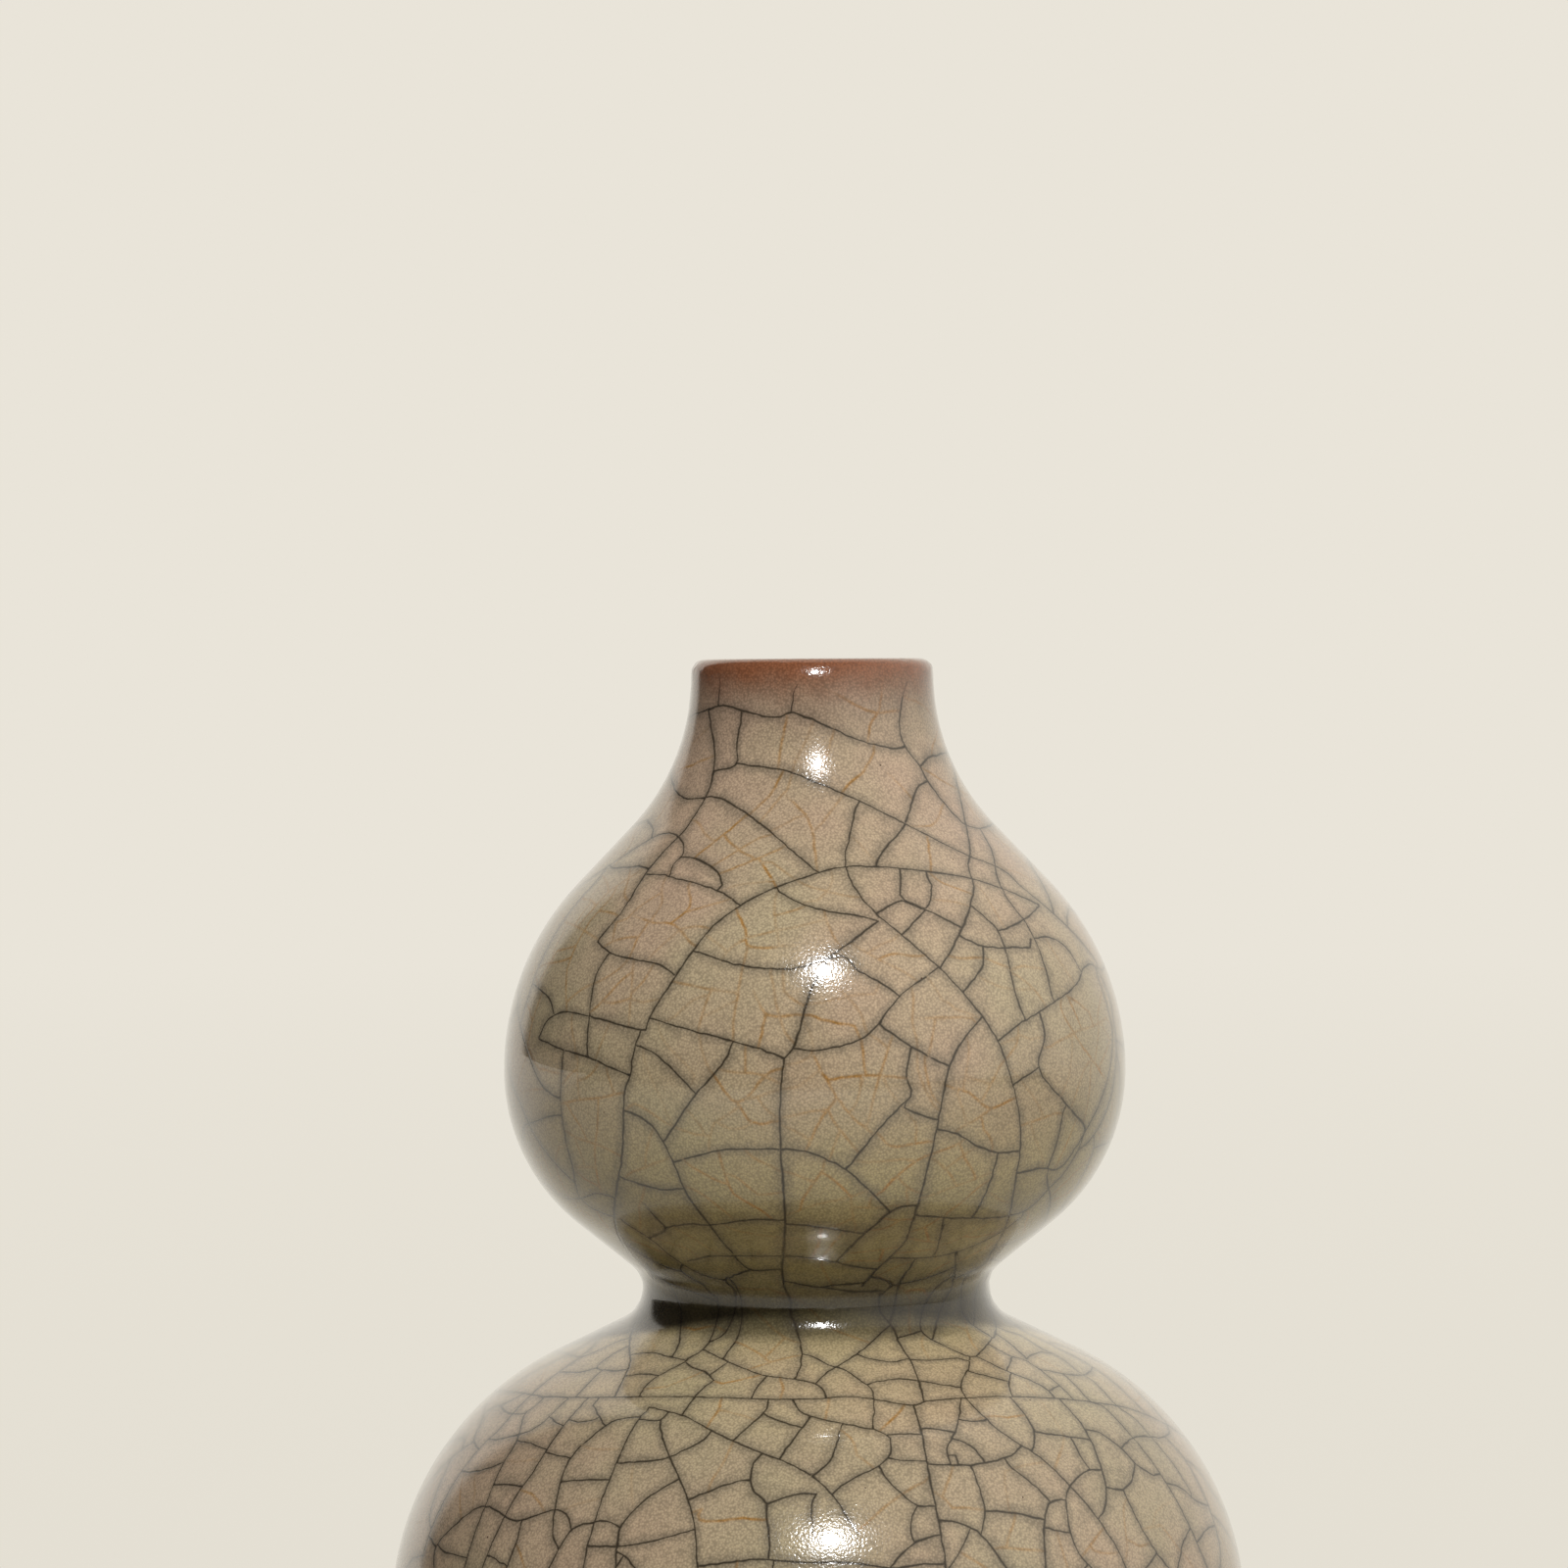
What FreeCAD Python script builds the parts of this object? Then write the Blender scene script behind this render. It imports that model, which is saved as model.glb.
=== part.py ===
# Double gourd vase in crackle-glazed stoneware. Five thrown sections are luted together with
# slip on a turned foot ring, and glaze covers the pot outside, inside and under its base.
# Millimetres, +Z up, origin at the centre of the foot ring's resting face.
import FreeCAD, Part
import Sketcher
import math
import os

os.makedirs("parts", exist_ok=True)
doc = FreeCAD.newDocument("double_gourd_vase")

# Driving dimensions. The radii, arcs and heights of the outline are those of the outer glaze.
SIZES = [
    ("lower_belly_radius", 74.1, "widest radius of the lower bulb"),
    ("lower_belly_height", 62.6, "height of the lower bulb's widest ring"),
    ("base_inset", 33.0, "how far the outline draws in from there to where the outer glaze ends"),
    ("lower_straight", 14.0, "straight stretch of the outline under the waist"),
    ("waist_radius", 30.1, "narrowest radius between the bulbs"),
    ("waist_rise", 56.7, "waist above the lower bulb's widest ring"),
    ("waist_lower_arc", 6.8, "hollow arc of the outline under the waist"),
    ("waist_upper_arc", 4.9, "hollow arc of the outline above the waist"),
    ("waist_straight", 12.3, "straight stretch of the outline above the waist"),
    ("upper_belly_radius", 53.9, "widest radius of the upper bulb"),
    ("upper_belly_rise", 37.6, "upper bulb's widest ring above the waist"),
    ("neck_straight", 13.6, "straight stretch of the outline below the neck"),
    ("neck_arc", 37.8, "hollow arc of the outline at the neck"),
    ("throat_radius", 21.0, "radius where the neck stands upright"),
    ("throat_rise", 68.4, "that point above the upper bulb's widest ring"),
    ("lip_straight", 0.4, "upright stretch under the lip's rounding"),
    ("lip_round", 2.3, "rounding of the lip's outer edge"),
    ("mouth_round", 1.3, "rounding of the lip's inner edge"),
    ("clay_round_loss", 0.5, "how much smaller the roundings of the clay are than the glaze's"),
    ("outer_glaze_depth", 0.9, "glaze on the outside"),
    ("clay_wall", 3.4, "thrown wall between the outer and the inner glaze"),
    ("inner_glaze_depth", 0.5, "glaze on the inside"),
    ("lip_glaze_depth", 0.4, "glaze where it has run thin on top of the lip"),
    ("floor_depth", 5.0, "clay floor of the lower bulb"),
    ("floor_round", 12.0, "rounding between the clay floor and the wall, inside"),
    ("glaze_line_rise", 0.6, "bare clay between the foot ring and the outer glaze"),
    ("foot_height", 6.0, "foot ring with the slip that holds it"),
    ("foot_step", 2.5, "how far the foot ring stands in from the edge of the outer glaze"),
    ("foot_ring_width", 5.2, "foot ring across its top"),
    ("foot_draw_in", 0.7, "how far the foot ring's outside draws in towards its resting face"),
    ("foot_bevel", 0.6, "turned bevel on both edges of the resting face"),
    ("base_glaze_depth", 0.7, "glaze under the base, inside the foot ring"),
    ("base_glaze_run", 1.5, "how far that glaze runs down the foot ring and across the corner"),
    ("slip_depth", 0.8, "slip between two luted sections"),
    ("upper_seam_drop", 7.2, "upper bulb's seam below its widest ring"),
    ("neck_seam_drop", 19.7, "neck's seam below the throat"),
    ("overrun", 5.0, "how far a cutting shape runs past what it cuts"),
]

sheet = doc.addObject("Spreadsheet::Sheet", "sizes")
for row, (alias, value, meaning) in enumerate(SIZES, start=1):
    sheet.set(f"A{row}", meaning)
    sheet.set(f"B{row}", str(value))
    sheet.setAlias(f"B{row}", alias)
doc.recompute()
size = {alias: float(value) for alias, value, _ in SIZES}

# Lengths worked out from the sizes, each a sum in words that amount() and bound() can read.
WAIST = "lower_belly_height + waist_rise"
UPPER_BELLY = WAIST + " + upper_belly_rise"
THROAT = UPPER_BELLY + " + throat_rise"
RIM = THROAT + " + lip_straight + lip_round"
CLAY_RIM = RIM + " - lip_glaze_depth"
GLAZE_LINE = "foot_height + glaze_line_rise"
CLAY_FLOOR = "foot_height + floor_depth"
GLAZE_FLOOR = CLAY_FLOOR + " + inner_glaze_depth"
CLAY_DEPTH = "outer_glaze_depth"
CLAY_BORE_DEPTH = CLAY_DEPTH + " + clay_wall"
GLAZE_BORE_DEPTH = CLAY_BORE_DEPTH + " + inner_glaze_depth"
FOOT_RADIUS = "lower_belly_radius - base_inset - foot_step"
FOOT_INSIDE = FOOT_RADIUS + " - foot_ring_width"
FOOT_TREAD = FOOT_RADIUS + " - foot_draw_in"
FOOT_TOP = "foot_height - slip_depth"

# The numbers by which a sketch names its upright axis and its origin, and a shape's points
UPRIGHT, ORIGIN = range(-2, 0)
_, START, END, CENTRE = range(4)
FULL_TURN = 360


def amount(text):
    """Value of a sum such as "foot_height + floor_depth"."""
    total = 0.0
    sign = 1.0
    for word in text.split():
        if word in ("+", "-"):
            sign = 1.0 if word == "+" else -1.0
        else:
            total += sign * size[word]
    return total


def bound(text):
    """The same sum as an expression on the sheet's cells."""
    return " ".join(word if word in ("+", "-") else "sizes." + word for word in text.split())


def less(text):
    """A sum with every sign turned round, to follow another sum."""
    turned = " ".join({"+": "-", "-": "+"}.get(word, word) for word in text.split())
    return " - " + turned


def point(radius, height):
    return FreeCAD.Vector(radius, height, 0)


def arc(centre, radius, first, last):
    """Arc that runs anticlockwise between two angles."""
    circle = Part.Circle(centre, FreeCAD.Vector(0, 0, 1), radius)
    return Part.ArcOfCircle(circle, first, last)


class Profile:
    """Sketch in the upright plane of a body, with sizes bound to the sheet."""

    def __init__(self, name):
        self.body = doc.addObject("PartDesign::Body", name)
        self.sketch = self.body.newObject("Sketcher::SketchObject", name + "_profile")
        planes = self.body.Origin.OriginFeatures
        upright = next(plane for plane in planes if plane.Role == "XZ_Plane")
        self.sketch.AttachmentSupport = (upright, [""])
        self.sketch.MapMode = "FlatFace"

    def draw(self, shape):
        return self.sketch.addGeometry(shape, False)

    def rule(self, *words):
        return self.sketch.addConstraint(Sketcher.Constraint(*words))

    def measure(self, kind, *words, expression):
        index = self.rule(kind, *words)
        self.sketch.setExpression(f"Constraints[{index}]", expression)

    def place(self, shape, spot, radius=None, height=None):
        """Hold a point of a shape at a radius and a height, each a sum of sizes or an expression."""
        if radius is not None:
            value = amount(radius)
            self.measure("DistanceX", ORIGIN, START, shape, spot, value, expression=bound(radius))
        if height is not None:
            value = amount(height)
            self.measure("DistanceY", ORIGIN, START, shape, spot, value, expression=bound(height))

    def revolve(self):
        turned = self.body.newObject("PartDesign::Revolution", self.body.Name + "_turned")
        turned.Profile = self.sketch
        turned.ReferenceAxis = (self.sketch, ["V_Axis"])
        turned.Angle = FULL_TURN
        self.body.Tip = turned
        self.sketch.Visibility = False
        return self.body


def swing(profile, full_arc, full_end, hollow_arc, hollow_end, line, stretch):
    """Join a full arc to a hollow one with a tangent line of a given length."""
    profile.rule("Tangent", full_arc, full_end, line, START)
    profile.rule("Tangent", line, END, hollow_arc, hollow_end)
    profile.measure("Distance", line, amount(stretch), expression=bound(stretch))


def link(belly, hollow_point, hollow_radius, stretch):
    """Full arc, straight line and hollow arc between two upright spots of the outline.

    Both arcs stand upright at their outer ends, so the straight stretch fixes their joint
    radius. Returns both centres, the full arc's radius and the angle at which they meet.
    """
    inset = belly.x - hollow_point.x
    rise = hollow_point.y - belly.y
    full_radius = (inset ** 2 + rise ** 2 - stretch ** 2) / (2 * inset) - hollow_radius
    full_centre = point(belly.x - full_radius, belly.y)
    hollow_centre = point(hollow_point.x + hollow_radius, hollow_point.y)
    across = hollow_centre - full_centre
    bearing = math.atan2(across.y, across.x)
    lean = math.acos((full_radius + hollow_radius) / across.Length)
    angle = bearing - math.copysign(lean, rise)
    return full_centre, hollow_centre, full_radius, angle


def towards(centre, radius, angle):
    return centre + point(radius * math.cos(angle), radius * math.sin(angle))


BASE_ARC = (
    "(sizes.base_inset ^ 2"
    " + (sizes.lower_belly_height - sizes.foot_height - sizes.glaze_line_rise) ^ 2)"
    " / (2 * sizes.base_inset)"
)


def gourd(name, depth, bottom, rim, edge_round, floor_round=None):
    """Solid gourd whose surface lies at a depth under the outer one, flat at both ends.

    With a floor_round it is the shape of a hollow: it is rounded above its floor, flares out at
    the rim by edge_round and runs on past it. Otherwise edge_round takes off the rim's edge.
    """
    profile = Profile(name)
    hollow = floor_round is not None
    inward = less(depth) if depth else ""
    deeper = " + " + depth if depth else ""
    pulled = amount(depth)
    belly = point(amount("lower_belly_radius" + inward), size["lower_belly_height"])
    waist = point(amount("waist_radius" + inward), amount(WAIST))
    upper_belly = point(amount("upper_belly_radius" + inward), amount(UPPER_BELLY))
    throat = point(amount("throat_radius" + inward), amount(THROAT))
    lower_hollow = "waist_lower_arc" + deeper
    upper_hollow = "waist_upper_arc" + deeper
    neck_hollow = "neck_arc" + deeper
    base_bound = f"{BASE_ARC} - ({bound(depth)})" if depth else BASE_ARC

    # Arc from the base to the lower belly, the same centre at every depth
    inset = size["base_inset"]
    drop = size["lower_belly_height"] - amount(GLAZE_LINE)
    base_radius = (inset ** 2 + drop ** 2) / (2 * inset) - pulled
    base_centre = point(belly.x - base_radius, belly.y)
    floor = amount(bottom)
    if hollow:
        turn = amount(floor_round)
        side = math.sqrt((base_radius - turn) ** 2 - (belly.y - floor - turn) ** 2)
        turn_centre = point(base_centre.x + side, floor + turn)
        base_angle = -math.atan2(belly.y - floor - turn, side)
        floor_end = point(turn_centre.x, floor)
    else:
        base_angle = -math.asin((belly.y - floor) / base_radius)
        floor_end = towards(base_centre, base_radius, base_angle)
    base = profile.draw(arc(base_centre, base_radius, base_angle, 0))
    ground = profile.draw(Part.LineSegment(point(0, floor), floor_end))
    profile.measure("Radius", base, base_radius, expression=base_bound)
    profile.rule("Horizontal", base, CENTRE, base, END)
    profile.place(base, END, "lower_belly_radius" + inward, "lower_belly_height")
    profile.rule("Horizontal", ground)
    profile.rule("PointOnObject", ground, START, UPRIGHT)
    profile.place(ground, START, height=bottom)
    if hollow:
        corner = profile.draw(arc(turn_centre, turn, -math.pi / 2, base_angle))
        profile.rule("Tangent", ground, END, corner, START)
        profile.rule("Tangent", corner, END, base, START)
        profile.measure("Radius", corner, turn, expression=bound(floor_round))
    else:
        profile.rule("Coincident", ground, END, base, START)

    # Shoulder of the lower bulb up to the waist
    radius = amount(lower_hollow)
    full_centre, hollow_centre, full_radius, angle = link(belly, waist, radius, size["lower_straight"])
    shoulder = profile.draw(arc(full_centre, full_radius, 0, angle))
    slope_start = towards(full_centre, full_radius, angle)
    slope_end = towards(hollow_centre, -radius, angle)
    slope = profile.draw(Part.LineSegment(slope_start, slope_end))
    under_waist = profile.draw(arc(hollow_centre, radius, math.pi, math.pi + angle))
    profile.rule("Tangent", base, END, shoulder, START)
    swing(profile, shoulder, END, under_waist, END, slope, "lower_straight")
    profile.measure("Radius", under_waist, radius, expression=bound(lower_hollow))
    profile.rule("Horizontal", under_waist, CENTRE, under_waist, START)
    profile.place(under_waist, START, "waist_radius" + inward, WAIST)

    # Waist up to the upper belly
    radius = amount(upper_hollow)
    full_centre, hollow_centre, full_radius, angle = link(
        upper_belly, waist, radius, size["waist_straight"])
    over_waist = profile.draw(arc(hollow_centre, radius, math.pi + angle, math.pi))
    slope_start = towards(full_centre, full_radius, angle)
    slope_end = towards(hollow_centre, -radius, angle)
    upper_slope = profile.draw(Part.LineSegment(slope_start, slope_end))
    upper_base = profile.draw(arc(full_centre, full_radius, angle, 0))
    profile.rule("Tangent", under_waist, START, over_waist, END)
    profile.measure("Radius", over_waist, radius, expression=bound(upper_hollow))
    swing(profile, upper_base, START, over_waist, START, upper_slope, "waist_straight")
    profile.rule("Horizontal", upper_base, CENTRE, upper_base, END)
    profile.place(upper_base, END, "upper_belly_radius" + inward, UPPER_BELLY)

    # Upper shoulder up into the neck
    radius = amount(neck_hollow)
    full_centre, hollow_centre, full_radius, angle = link(
        upper_belly, throat, radius, size["neck_straight"])
    upper_shoulder = profile.draw(arc(full_centre, full_radius, 0, angle))
    slope_start = towards(full_centre, full_radius, angle)
    slope_end = towards(hollow_centre, -radius, angle)
    neck_slope = profile.draw(Part.LineSegment(slope_start, slope_end))
    neck = profile.draw(arc(hollow_centre, radius, math.pi, math.pi + angle))
    profile.rule("Tangent", upper_base, END, upper_shoulder, START)
    swing(profile, upper_shoulder, END, neck, END, neck_slope, "neck_straight")
    profile.measure("Radius", neck, radius, expression=bound(neck_hollow))
    profile.rule("Horizontal", neck, CENTRE, neck, START)
    profile.place(neck, START, "throat_radius" + inward, THROAT)

    # Rim
    top = amount(rim)
    turn = amount(edge_round)
    if hollow:
        turn_centre = point(throat.x + turn, top - turn)
        edge = profile.draw(arc(turn_centre, turn, math.pi / 2, math.pi))
        edge_low, edge_high = END, START
        past = rim + " + overrun"
        high = point(turn_centre.x, amount(past))
        chimney = profile.draw(Part.LineSegment(point(turn_centre.x, top), high))
        profile.rule("Coincident", chimney, START, edge, edge_high)
        profile.rule("Vertical", chimney)
    else:
        turn_centre = point(throat.x - turn, top - turn)
        edge = profile.draw(arc(turn_centre, turn, 0, math.pi / 2))
        edge_low, edge_high = START, END
        past = rim
        high = point(turn_centre.x, top)
    upright = profile.draw(Part.LineSegment(throat, point(throat.x, top - turn)))
    lid = profile.draw(Part.LineSegment(high, point(0, high.y)))
    spine = profile.draw(Part.LineSegment(point(0, high.y), point(0, floor)))
    profile.rule("Coincident", neck, START, upright, START)
    profile.rule("Vertical", upright)
    profile.rule("Tangent", upright, END, edge, edge_low)
    profile.measure("Radius", edge, turn, expression=bound(edge_round))
    profile.rule("Horizontal", lid)
    profile.rule("PointOnObject", lid, END, UPRIGHT)
    profile.rule("Coincident", lid, END, spine, START)
    profile.rule("Coincident", spine, END, ground, START)
    profile.place(lid, END, height=past)
    if hollow:
        profile.rule("Coincident", chimney, END, lid, START)
        profile.rule("Vertical", edge, CENTRE, edge, edge_high)
        profile.place(edge, edge_high, height=rim)
    else:
        profile.rule("Coincident", edge, edge_high, lid, START)
        profile.rule("Vertical", edge, CENTRE, edge, edge_high)
    return profile.revolve()


def ring(name, corners):
    """Turned piece whose section has straight sides between corners of radius and height."""
    profile = Profile(name)
    spots = [point(amount(radius) if radius else 0, amount(height) if height else 0)
             for radius, height in corners]
    sides = [profile.draw(Part.LineSegment(spot, spots[(number + 1) % len(spots)]))
             for number, spot in enumerate(spots)]
    for number, (radius, height) in enumerate(corners):
        profile.rule("Coincident", sides[number - 1], END, sides[number], START)
        if radius is None:
            profile.rule("PointOnObject", sides[number], START, UPRIGHT)
        if height is None:
            profile.rule("PointOnObject", sides[number], START, ORIGIN)
        profile.place(sides[number], START, radius, height)
    return profile.revolve()


def cut(name, base, tool):
    piece = doc.addObject("Part::Cut", name)
    piece.Base = base
    piece.Tool = tool
    return piece


def common(name, first, second):
    piece = doc.addObject("Part::Common", name)
    piece.Base = first
    piece.Tool = second
    return piece


def slab(name, bottom, top):
    """Disc wider than the vase, between two heights."""
    disc = doc.addObject("Part::Cylinder", name)
    disc.setExpression("Radius", bound("lower_belly_radius + overrun"))
    disc.setExpression("Height", bound(top + less(bottom)))
    disc.setExpression("Placement.Base.z", bound(bottom))
    return disc


# Surfaces of the wall, from the outside in
glaze_form = gourd("glaze_form", "", GLAZE_LINE, RIM, "lip_round")
clay_form = gourd("clay_form", CLAY_DEPTH, "foot_height", CLAY_RIM, "lip_round - clay_round_loss")
clay_bore = gourd("clay_bore", CLAY_BORE_DEPTH, CLAY_FLOOR, CLAY_RIM,
                  "mouth_round - clay_round_loss", "floor_round")
glaze_bore = gourd("glaze_bore", GLAZE_BORE_DEPTH, GLAZE_FLOOR, RIM,
                   "mouth_round", "floor_round - inner_glaze_depth")


# Clay sections from the foot up, and the slip between them
clay_wall = cut("clay_wall_form", clay_form, clay_bore)
nodes = []


def layer(name, bottom, top):
    """Ring of the pot's wall between two heights."""
    return common(name, clay_wall, slab(name + "_height", bottom, top))


sections = ["lower_bowl", "lower_dome", "upper_bowl", "upper_dome", "neck"]
seams = [
    ("lower_belly_lute", "lower_belly_height"),
    ("waist_lute", WAIST),
    ("upper_belly_lute", UPPER_BELLY + " - upper_seam_drop"),
    ("neck_lute", THROAT + " - neck_seam_drop"),
]
bottom = "foot_height"
for section, (lute, seam) in zip(sections, seams):
    nodes.append(layer(section, bottom, seam))
    bottom = seam + " + slip_depth"
    nodes.append(layer(lute, seam, bottom))
nodes.append(layer(sections[-1], bottom, CLAY_RIM))

# Foot ring, and the slip that holds it under the bowl
nodes.append(ring("foot_ring", [
    (FOOT_INSIDE + " + foot_bevel", None),
    (FOOT_TREAD + " - foot_bevel", None),
    (FOOT_TREAD, "foot_bevel"),
    (FOOT_RADIUS, FOOT_TOP),
    (FOOT_INSIDE, FOOT_TOP),
    (FOOT_INSIDE, "foot_bevel"),
]))
nodes.append(ring("foot_lute", [
    (FOOT_INSIDE, FOOT_TOP),
    (FOOT_RADIUS, FOOT_TOP),
    (FOOT_RADIUS, "foot_height"),
    (FOOT_INSIDE, "foot_height"),
]))

# Glaze outside, which ends on top of the lip, inside, and under the base
outer_shell = cut("outer_shell", glaze_form, clay_form)
nodes.append(cut("outer_glaze", outer_shell, clay_bore))
lining = common("lining", clay_bore, glaze_form)
nodes.append(cut("inner_glaze", lining, glaze_bore))
nodes.append(ring("base_glaze", [
    (None, "foot_height - base_glaze_depth"),
    (FOOT_INSIDE + " - base_glaze_run", "foot_height - base_glaze_depth"),
    (FOOT_INSIDE, "foot_height - base_glaze_run"),
    (FOOT_INSIDE, "foot_height"),
    (None, "foot_height"),
]))
doc.recompute()

failed = [part.Name for part in doc.Objects if {"Invalid", "Error"} & set(part.State)]
if failed:
    raise RuntimeError(f"failed objects: {failed}")
for node in nodes:
    node.Label = node.Name
    shape = node.Shape
    if shape.isNull() or not shape.isValid() or len(shape.Solids) != 1:
        raise RuntimeError(f"{node.Label} is not one valid solid")
for node in nodes:
    node.Shape.exportStep(os.path.join("parts", node.Label + ".step"))
    print(f"{node.Label}: {node.Shape.Volume:.0f} mm3")
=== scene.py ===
# Double gourd vase: a thrown stoneware body under a thick grey-beige glaze that has crackled,
# its cracks stained dark and its finer crazing stained gold. Lengths in the dictionaries are mm.
import bmesh
import bpy
import math
import numpy as np
from mathutils import Euler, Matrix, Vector, kdtree
from mathutils.geometry import delaunay_2d_cdt


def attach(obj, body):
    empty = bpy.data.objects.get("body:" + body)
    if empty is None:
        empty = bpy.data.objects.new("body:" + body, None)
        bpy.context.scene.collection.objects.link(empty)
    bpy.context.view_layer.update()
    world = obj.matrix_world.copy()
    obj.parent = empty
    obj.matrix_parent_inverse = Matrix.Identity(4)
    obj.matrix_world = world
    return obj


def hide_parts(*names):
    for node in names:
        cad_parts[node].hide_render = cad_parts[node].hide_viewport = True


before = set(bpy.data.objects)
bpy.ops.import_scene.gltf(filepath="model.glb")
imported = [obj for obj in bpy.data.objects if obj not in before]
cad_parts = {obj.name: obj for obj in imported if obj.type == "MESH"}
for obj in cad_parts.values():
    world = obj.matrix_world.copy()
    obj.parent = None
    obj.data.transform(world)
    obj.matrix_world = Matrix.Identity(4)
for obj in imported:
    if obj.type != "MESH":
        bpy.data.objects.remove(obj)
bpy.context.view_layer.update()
mm = 0.001


def hexColour(text, alpha=1.0):
    # sRGB hex to the linear values that sockets want
    parts = [int(text[i:i + 2], 16) / 255 for i in (1, 3, 5)]
    return tuple(c / 12.92 if c <= 0.04045 else ((c + 0.055) / 1.055) ** 2.4 for c in parts) + (alpha,)


def feed(tree, node, sockets):
    # each socket takes a value, another socket, or a node whose first live output is meant
    for name, value in sockets.items():
        if isinstance(value, bpy.types.Node):
            value = next(socket for socket in value.outputs if socket.enabled)
        if isinstance(value, bpy.types.NodeSocket):
            tree.links.new(value, node.inputs[name])
        else:
            node.inputs[name].default_value = value


def addNode(tree, kind, sockets=None, **settings):
    # one node: settings are its properties, and a kind without Node in its name is a shader node
    node = tree.nodes.new(kind if "Node" in kind else "ShaderNode" + kind)
    for name, value in settings.items():
        setattr(node, name, value)
    feed(tree, node, sockets or {})
    return node


def newMaterial(name):
    material = bpy.data.materials.new(name)
    material.use_nodes = True
    material.node_tree.nodes.clear()
    return material, material.node_tree


# Camera of the photograph: 850 mm from the vase's axis, level with the mouth
photoCamera = {
    "framePixels": 1600,
    "distance": 850.0,
    "height": 225.0,
    "focalLength": 112.5,
    "sensor": 36.0,
    "clipFrom": 0.01,     # m
    "clipTo": 100.0,
    "pitch": 1.26,       # degrees down
    "yaw": 0.33,         # degrees left of the axis
    "roll": 0.36,        # degrees, the vase leans left in the frame
    "nearest": 700.0,    # span of distances in which the vase stands
    "farthest": 960.0,
    "looks": 521,        # places tried along it
    "overRim": 99.0,     # gap counted for a place above the vase
}


def buildCamera(view):
    data = bpy.data.cameras.new("photoCamera")
    data.lens = view["focalLength"]
    data.sensor_width = view["sensor"]
    data.clip_start = view["clipFrom"]
    data.clip_end = view["clipTo"]
    camera = bpy.data.objects.new("photoCamera", data)
    bpy.context.scene.collection.objects.link(camera)
    camera.location = (0, -view["distance"] * mm, view["height"] * mm)
    turns = (90 - view["pitch"], view["roll"], view["yaw"])
    camera.rotation_euler = Euler([math.radians(angle) for angle in turns])
    bpy.context.scene.camera = camera
    return camera


camera = buildCamera(photoCamera)
print("camera placed")

# Stage: cream floor that runs into a cream backdrop behind the vase, a dim room in front of it,
# and one small lamp high in front
studio = {
    "backdropTop": "#E9E4D9",
    "backdropLow": "#E4DFD3",
    "paper": "#DDD8CC",
    "paperInShade": "#8F897D",   # what it sends back up at the vase
    "paperRoughness": 0.9,
    "paperSpecular": 0.2,
    "floorRadius": 12.0,         # m
    "floorClear": 0.27,          # m, within this the floor is lit plainly and keeps the shadow
    "floorFade": 0.36,           # m, beyond this it is the backdrop's own colour
    "shadeFrom": 0.35,           # m
    "shadeTo": 3.0,              # m
    "sweepFrom": 0.1,            # m behind the vase
    "sweepTo": 0.5,              # m
    "lampElevation": 46.5,
    "lampAzimuth": 4.5,
    "lampDistance": 3.0,         # m
    "lampSize": 0.22,            # m
    "lampPower": 86.0,
    "lampAim": 0.15,             # m above the floor
    "backdropSpan": 55.0,        # degrees either side of its middle
    "backdropTurn": 13.0,        # degrees its middle stands right of straight behind
    "backdropBlur": 0.08,
    "leftLevel": 0.04,           # the room in front is dim, lighter towards the right
    "leftEdge": -0.1,
    "rightLevel": 1.2,
    "backLevel": 0.85,
}


def buildWorld(setup):
    world = bpy.data.worlds.new("studio")
    bpy.context.scene.world = world
    world.use_nodes = True
    tree = world.node_tree
    tree.nodes.clear()
    coord = addNode(tree, "TexCoord")
    split = addNode(tree, "SeparateXYZ", {"Vector": coord.outputs["Generated"]})
    bearing = addNode(tree, "Math", {0: split.outputs["X"], 1: split.outputs["Y"]}, operation="ARCTAN2")
    turned = addNode(tree, "Math", {
        0: bearing, 1: math.radians(setup["backdropTurn"])
    }, operation="SUBTRACT")
    away = addNode(tree, "Math", {0: turned}, operation="ABSOLUTE")
    span, blur = math.radians(setup["backdropSpan"]), setup["backdropBlur"]
    behind = addNode(tree, "MapRange", {
        "Value": away, "From Min": span - blur, "From Max": span + blur, "To Min": 1.0, "To Max": 0.0
    }, interpolation_type="SMOOTHSTEP")
    front = addNode(tree, "MapRange", {
        "Value": split.outputs["X"], "From Min": setup["leftEdge"], "From Max": 1.0,
        "To Min": setup["leftLevel"], "To Max": setup["rightLevel"]
    }, interpolation_type="SMOOTHSTEP")
    level = addNode(tree, "MapRange", {"Value": behind, "To Min": front, "To Max": setup["backLevel"]})
    cream = hexColour(setup["backdropTop"])
    lit = addNode(tree, "Background", {"Strength": level, "Color": cream})
    seen = addNode(tree, "Background", {"Color": cream, "Strength": 1.0})
    # the lens sees the backdrop all round, the glaze reflects it only where it hangs
    path = addNode(tree, "LightPath")
    mirrored = addNode(tree, "Math", {
        0: path.outputs["Is Glossy Ray"], 1: path.outputs["Is Transmission Ray"]
    }, operation="MAXIMUM")
    mirroredBehind = addNode(tree, "Math", {0: mirrored, 1: behind}, operation="MULTIPLY")
    shown = addNode(tree, "Math", {
        0: path.outputs["Is Camera Ray"], 1: mirroredBehind
    }, operation="MAXIMUM")
    mix = addNode(tree, "MixShader", {0: shown, 1: lit, 2: seen})
    addNode(tree, "OutputWorld", {"Surface": mix})


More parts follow.
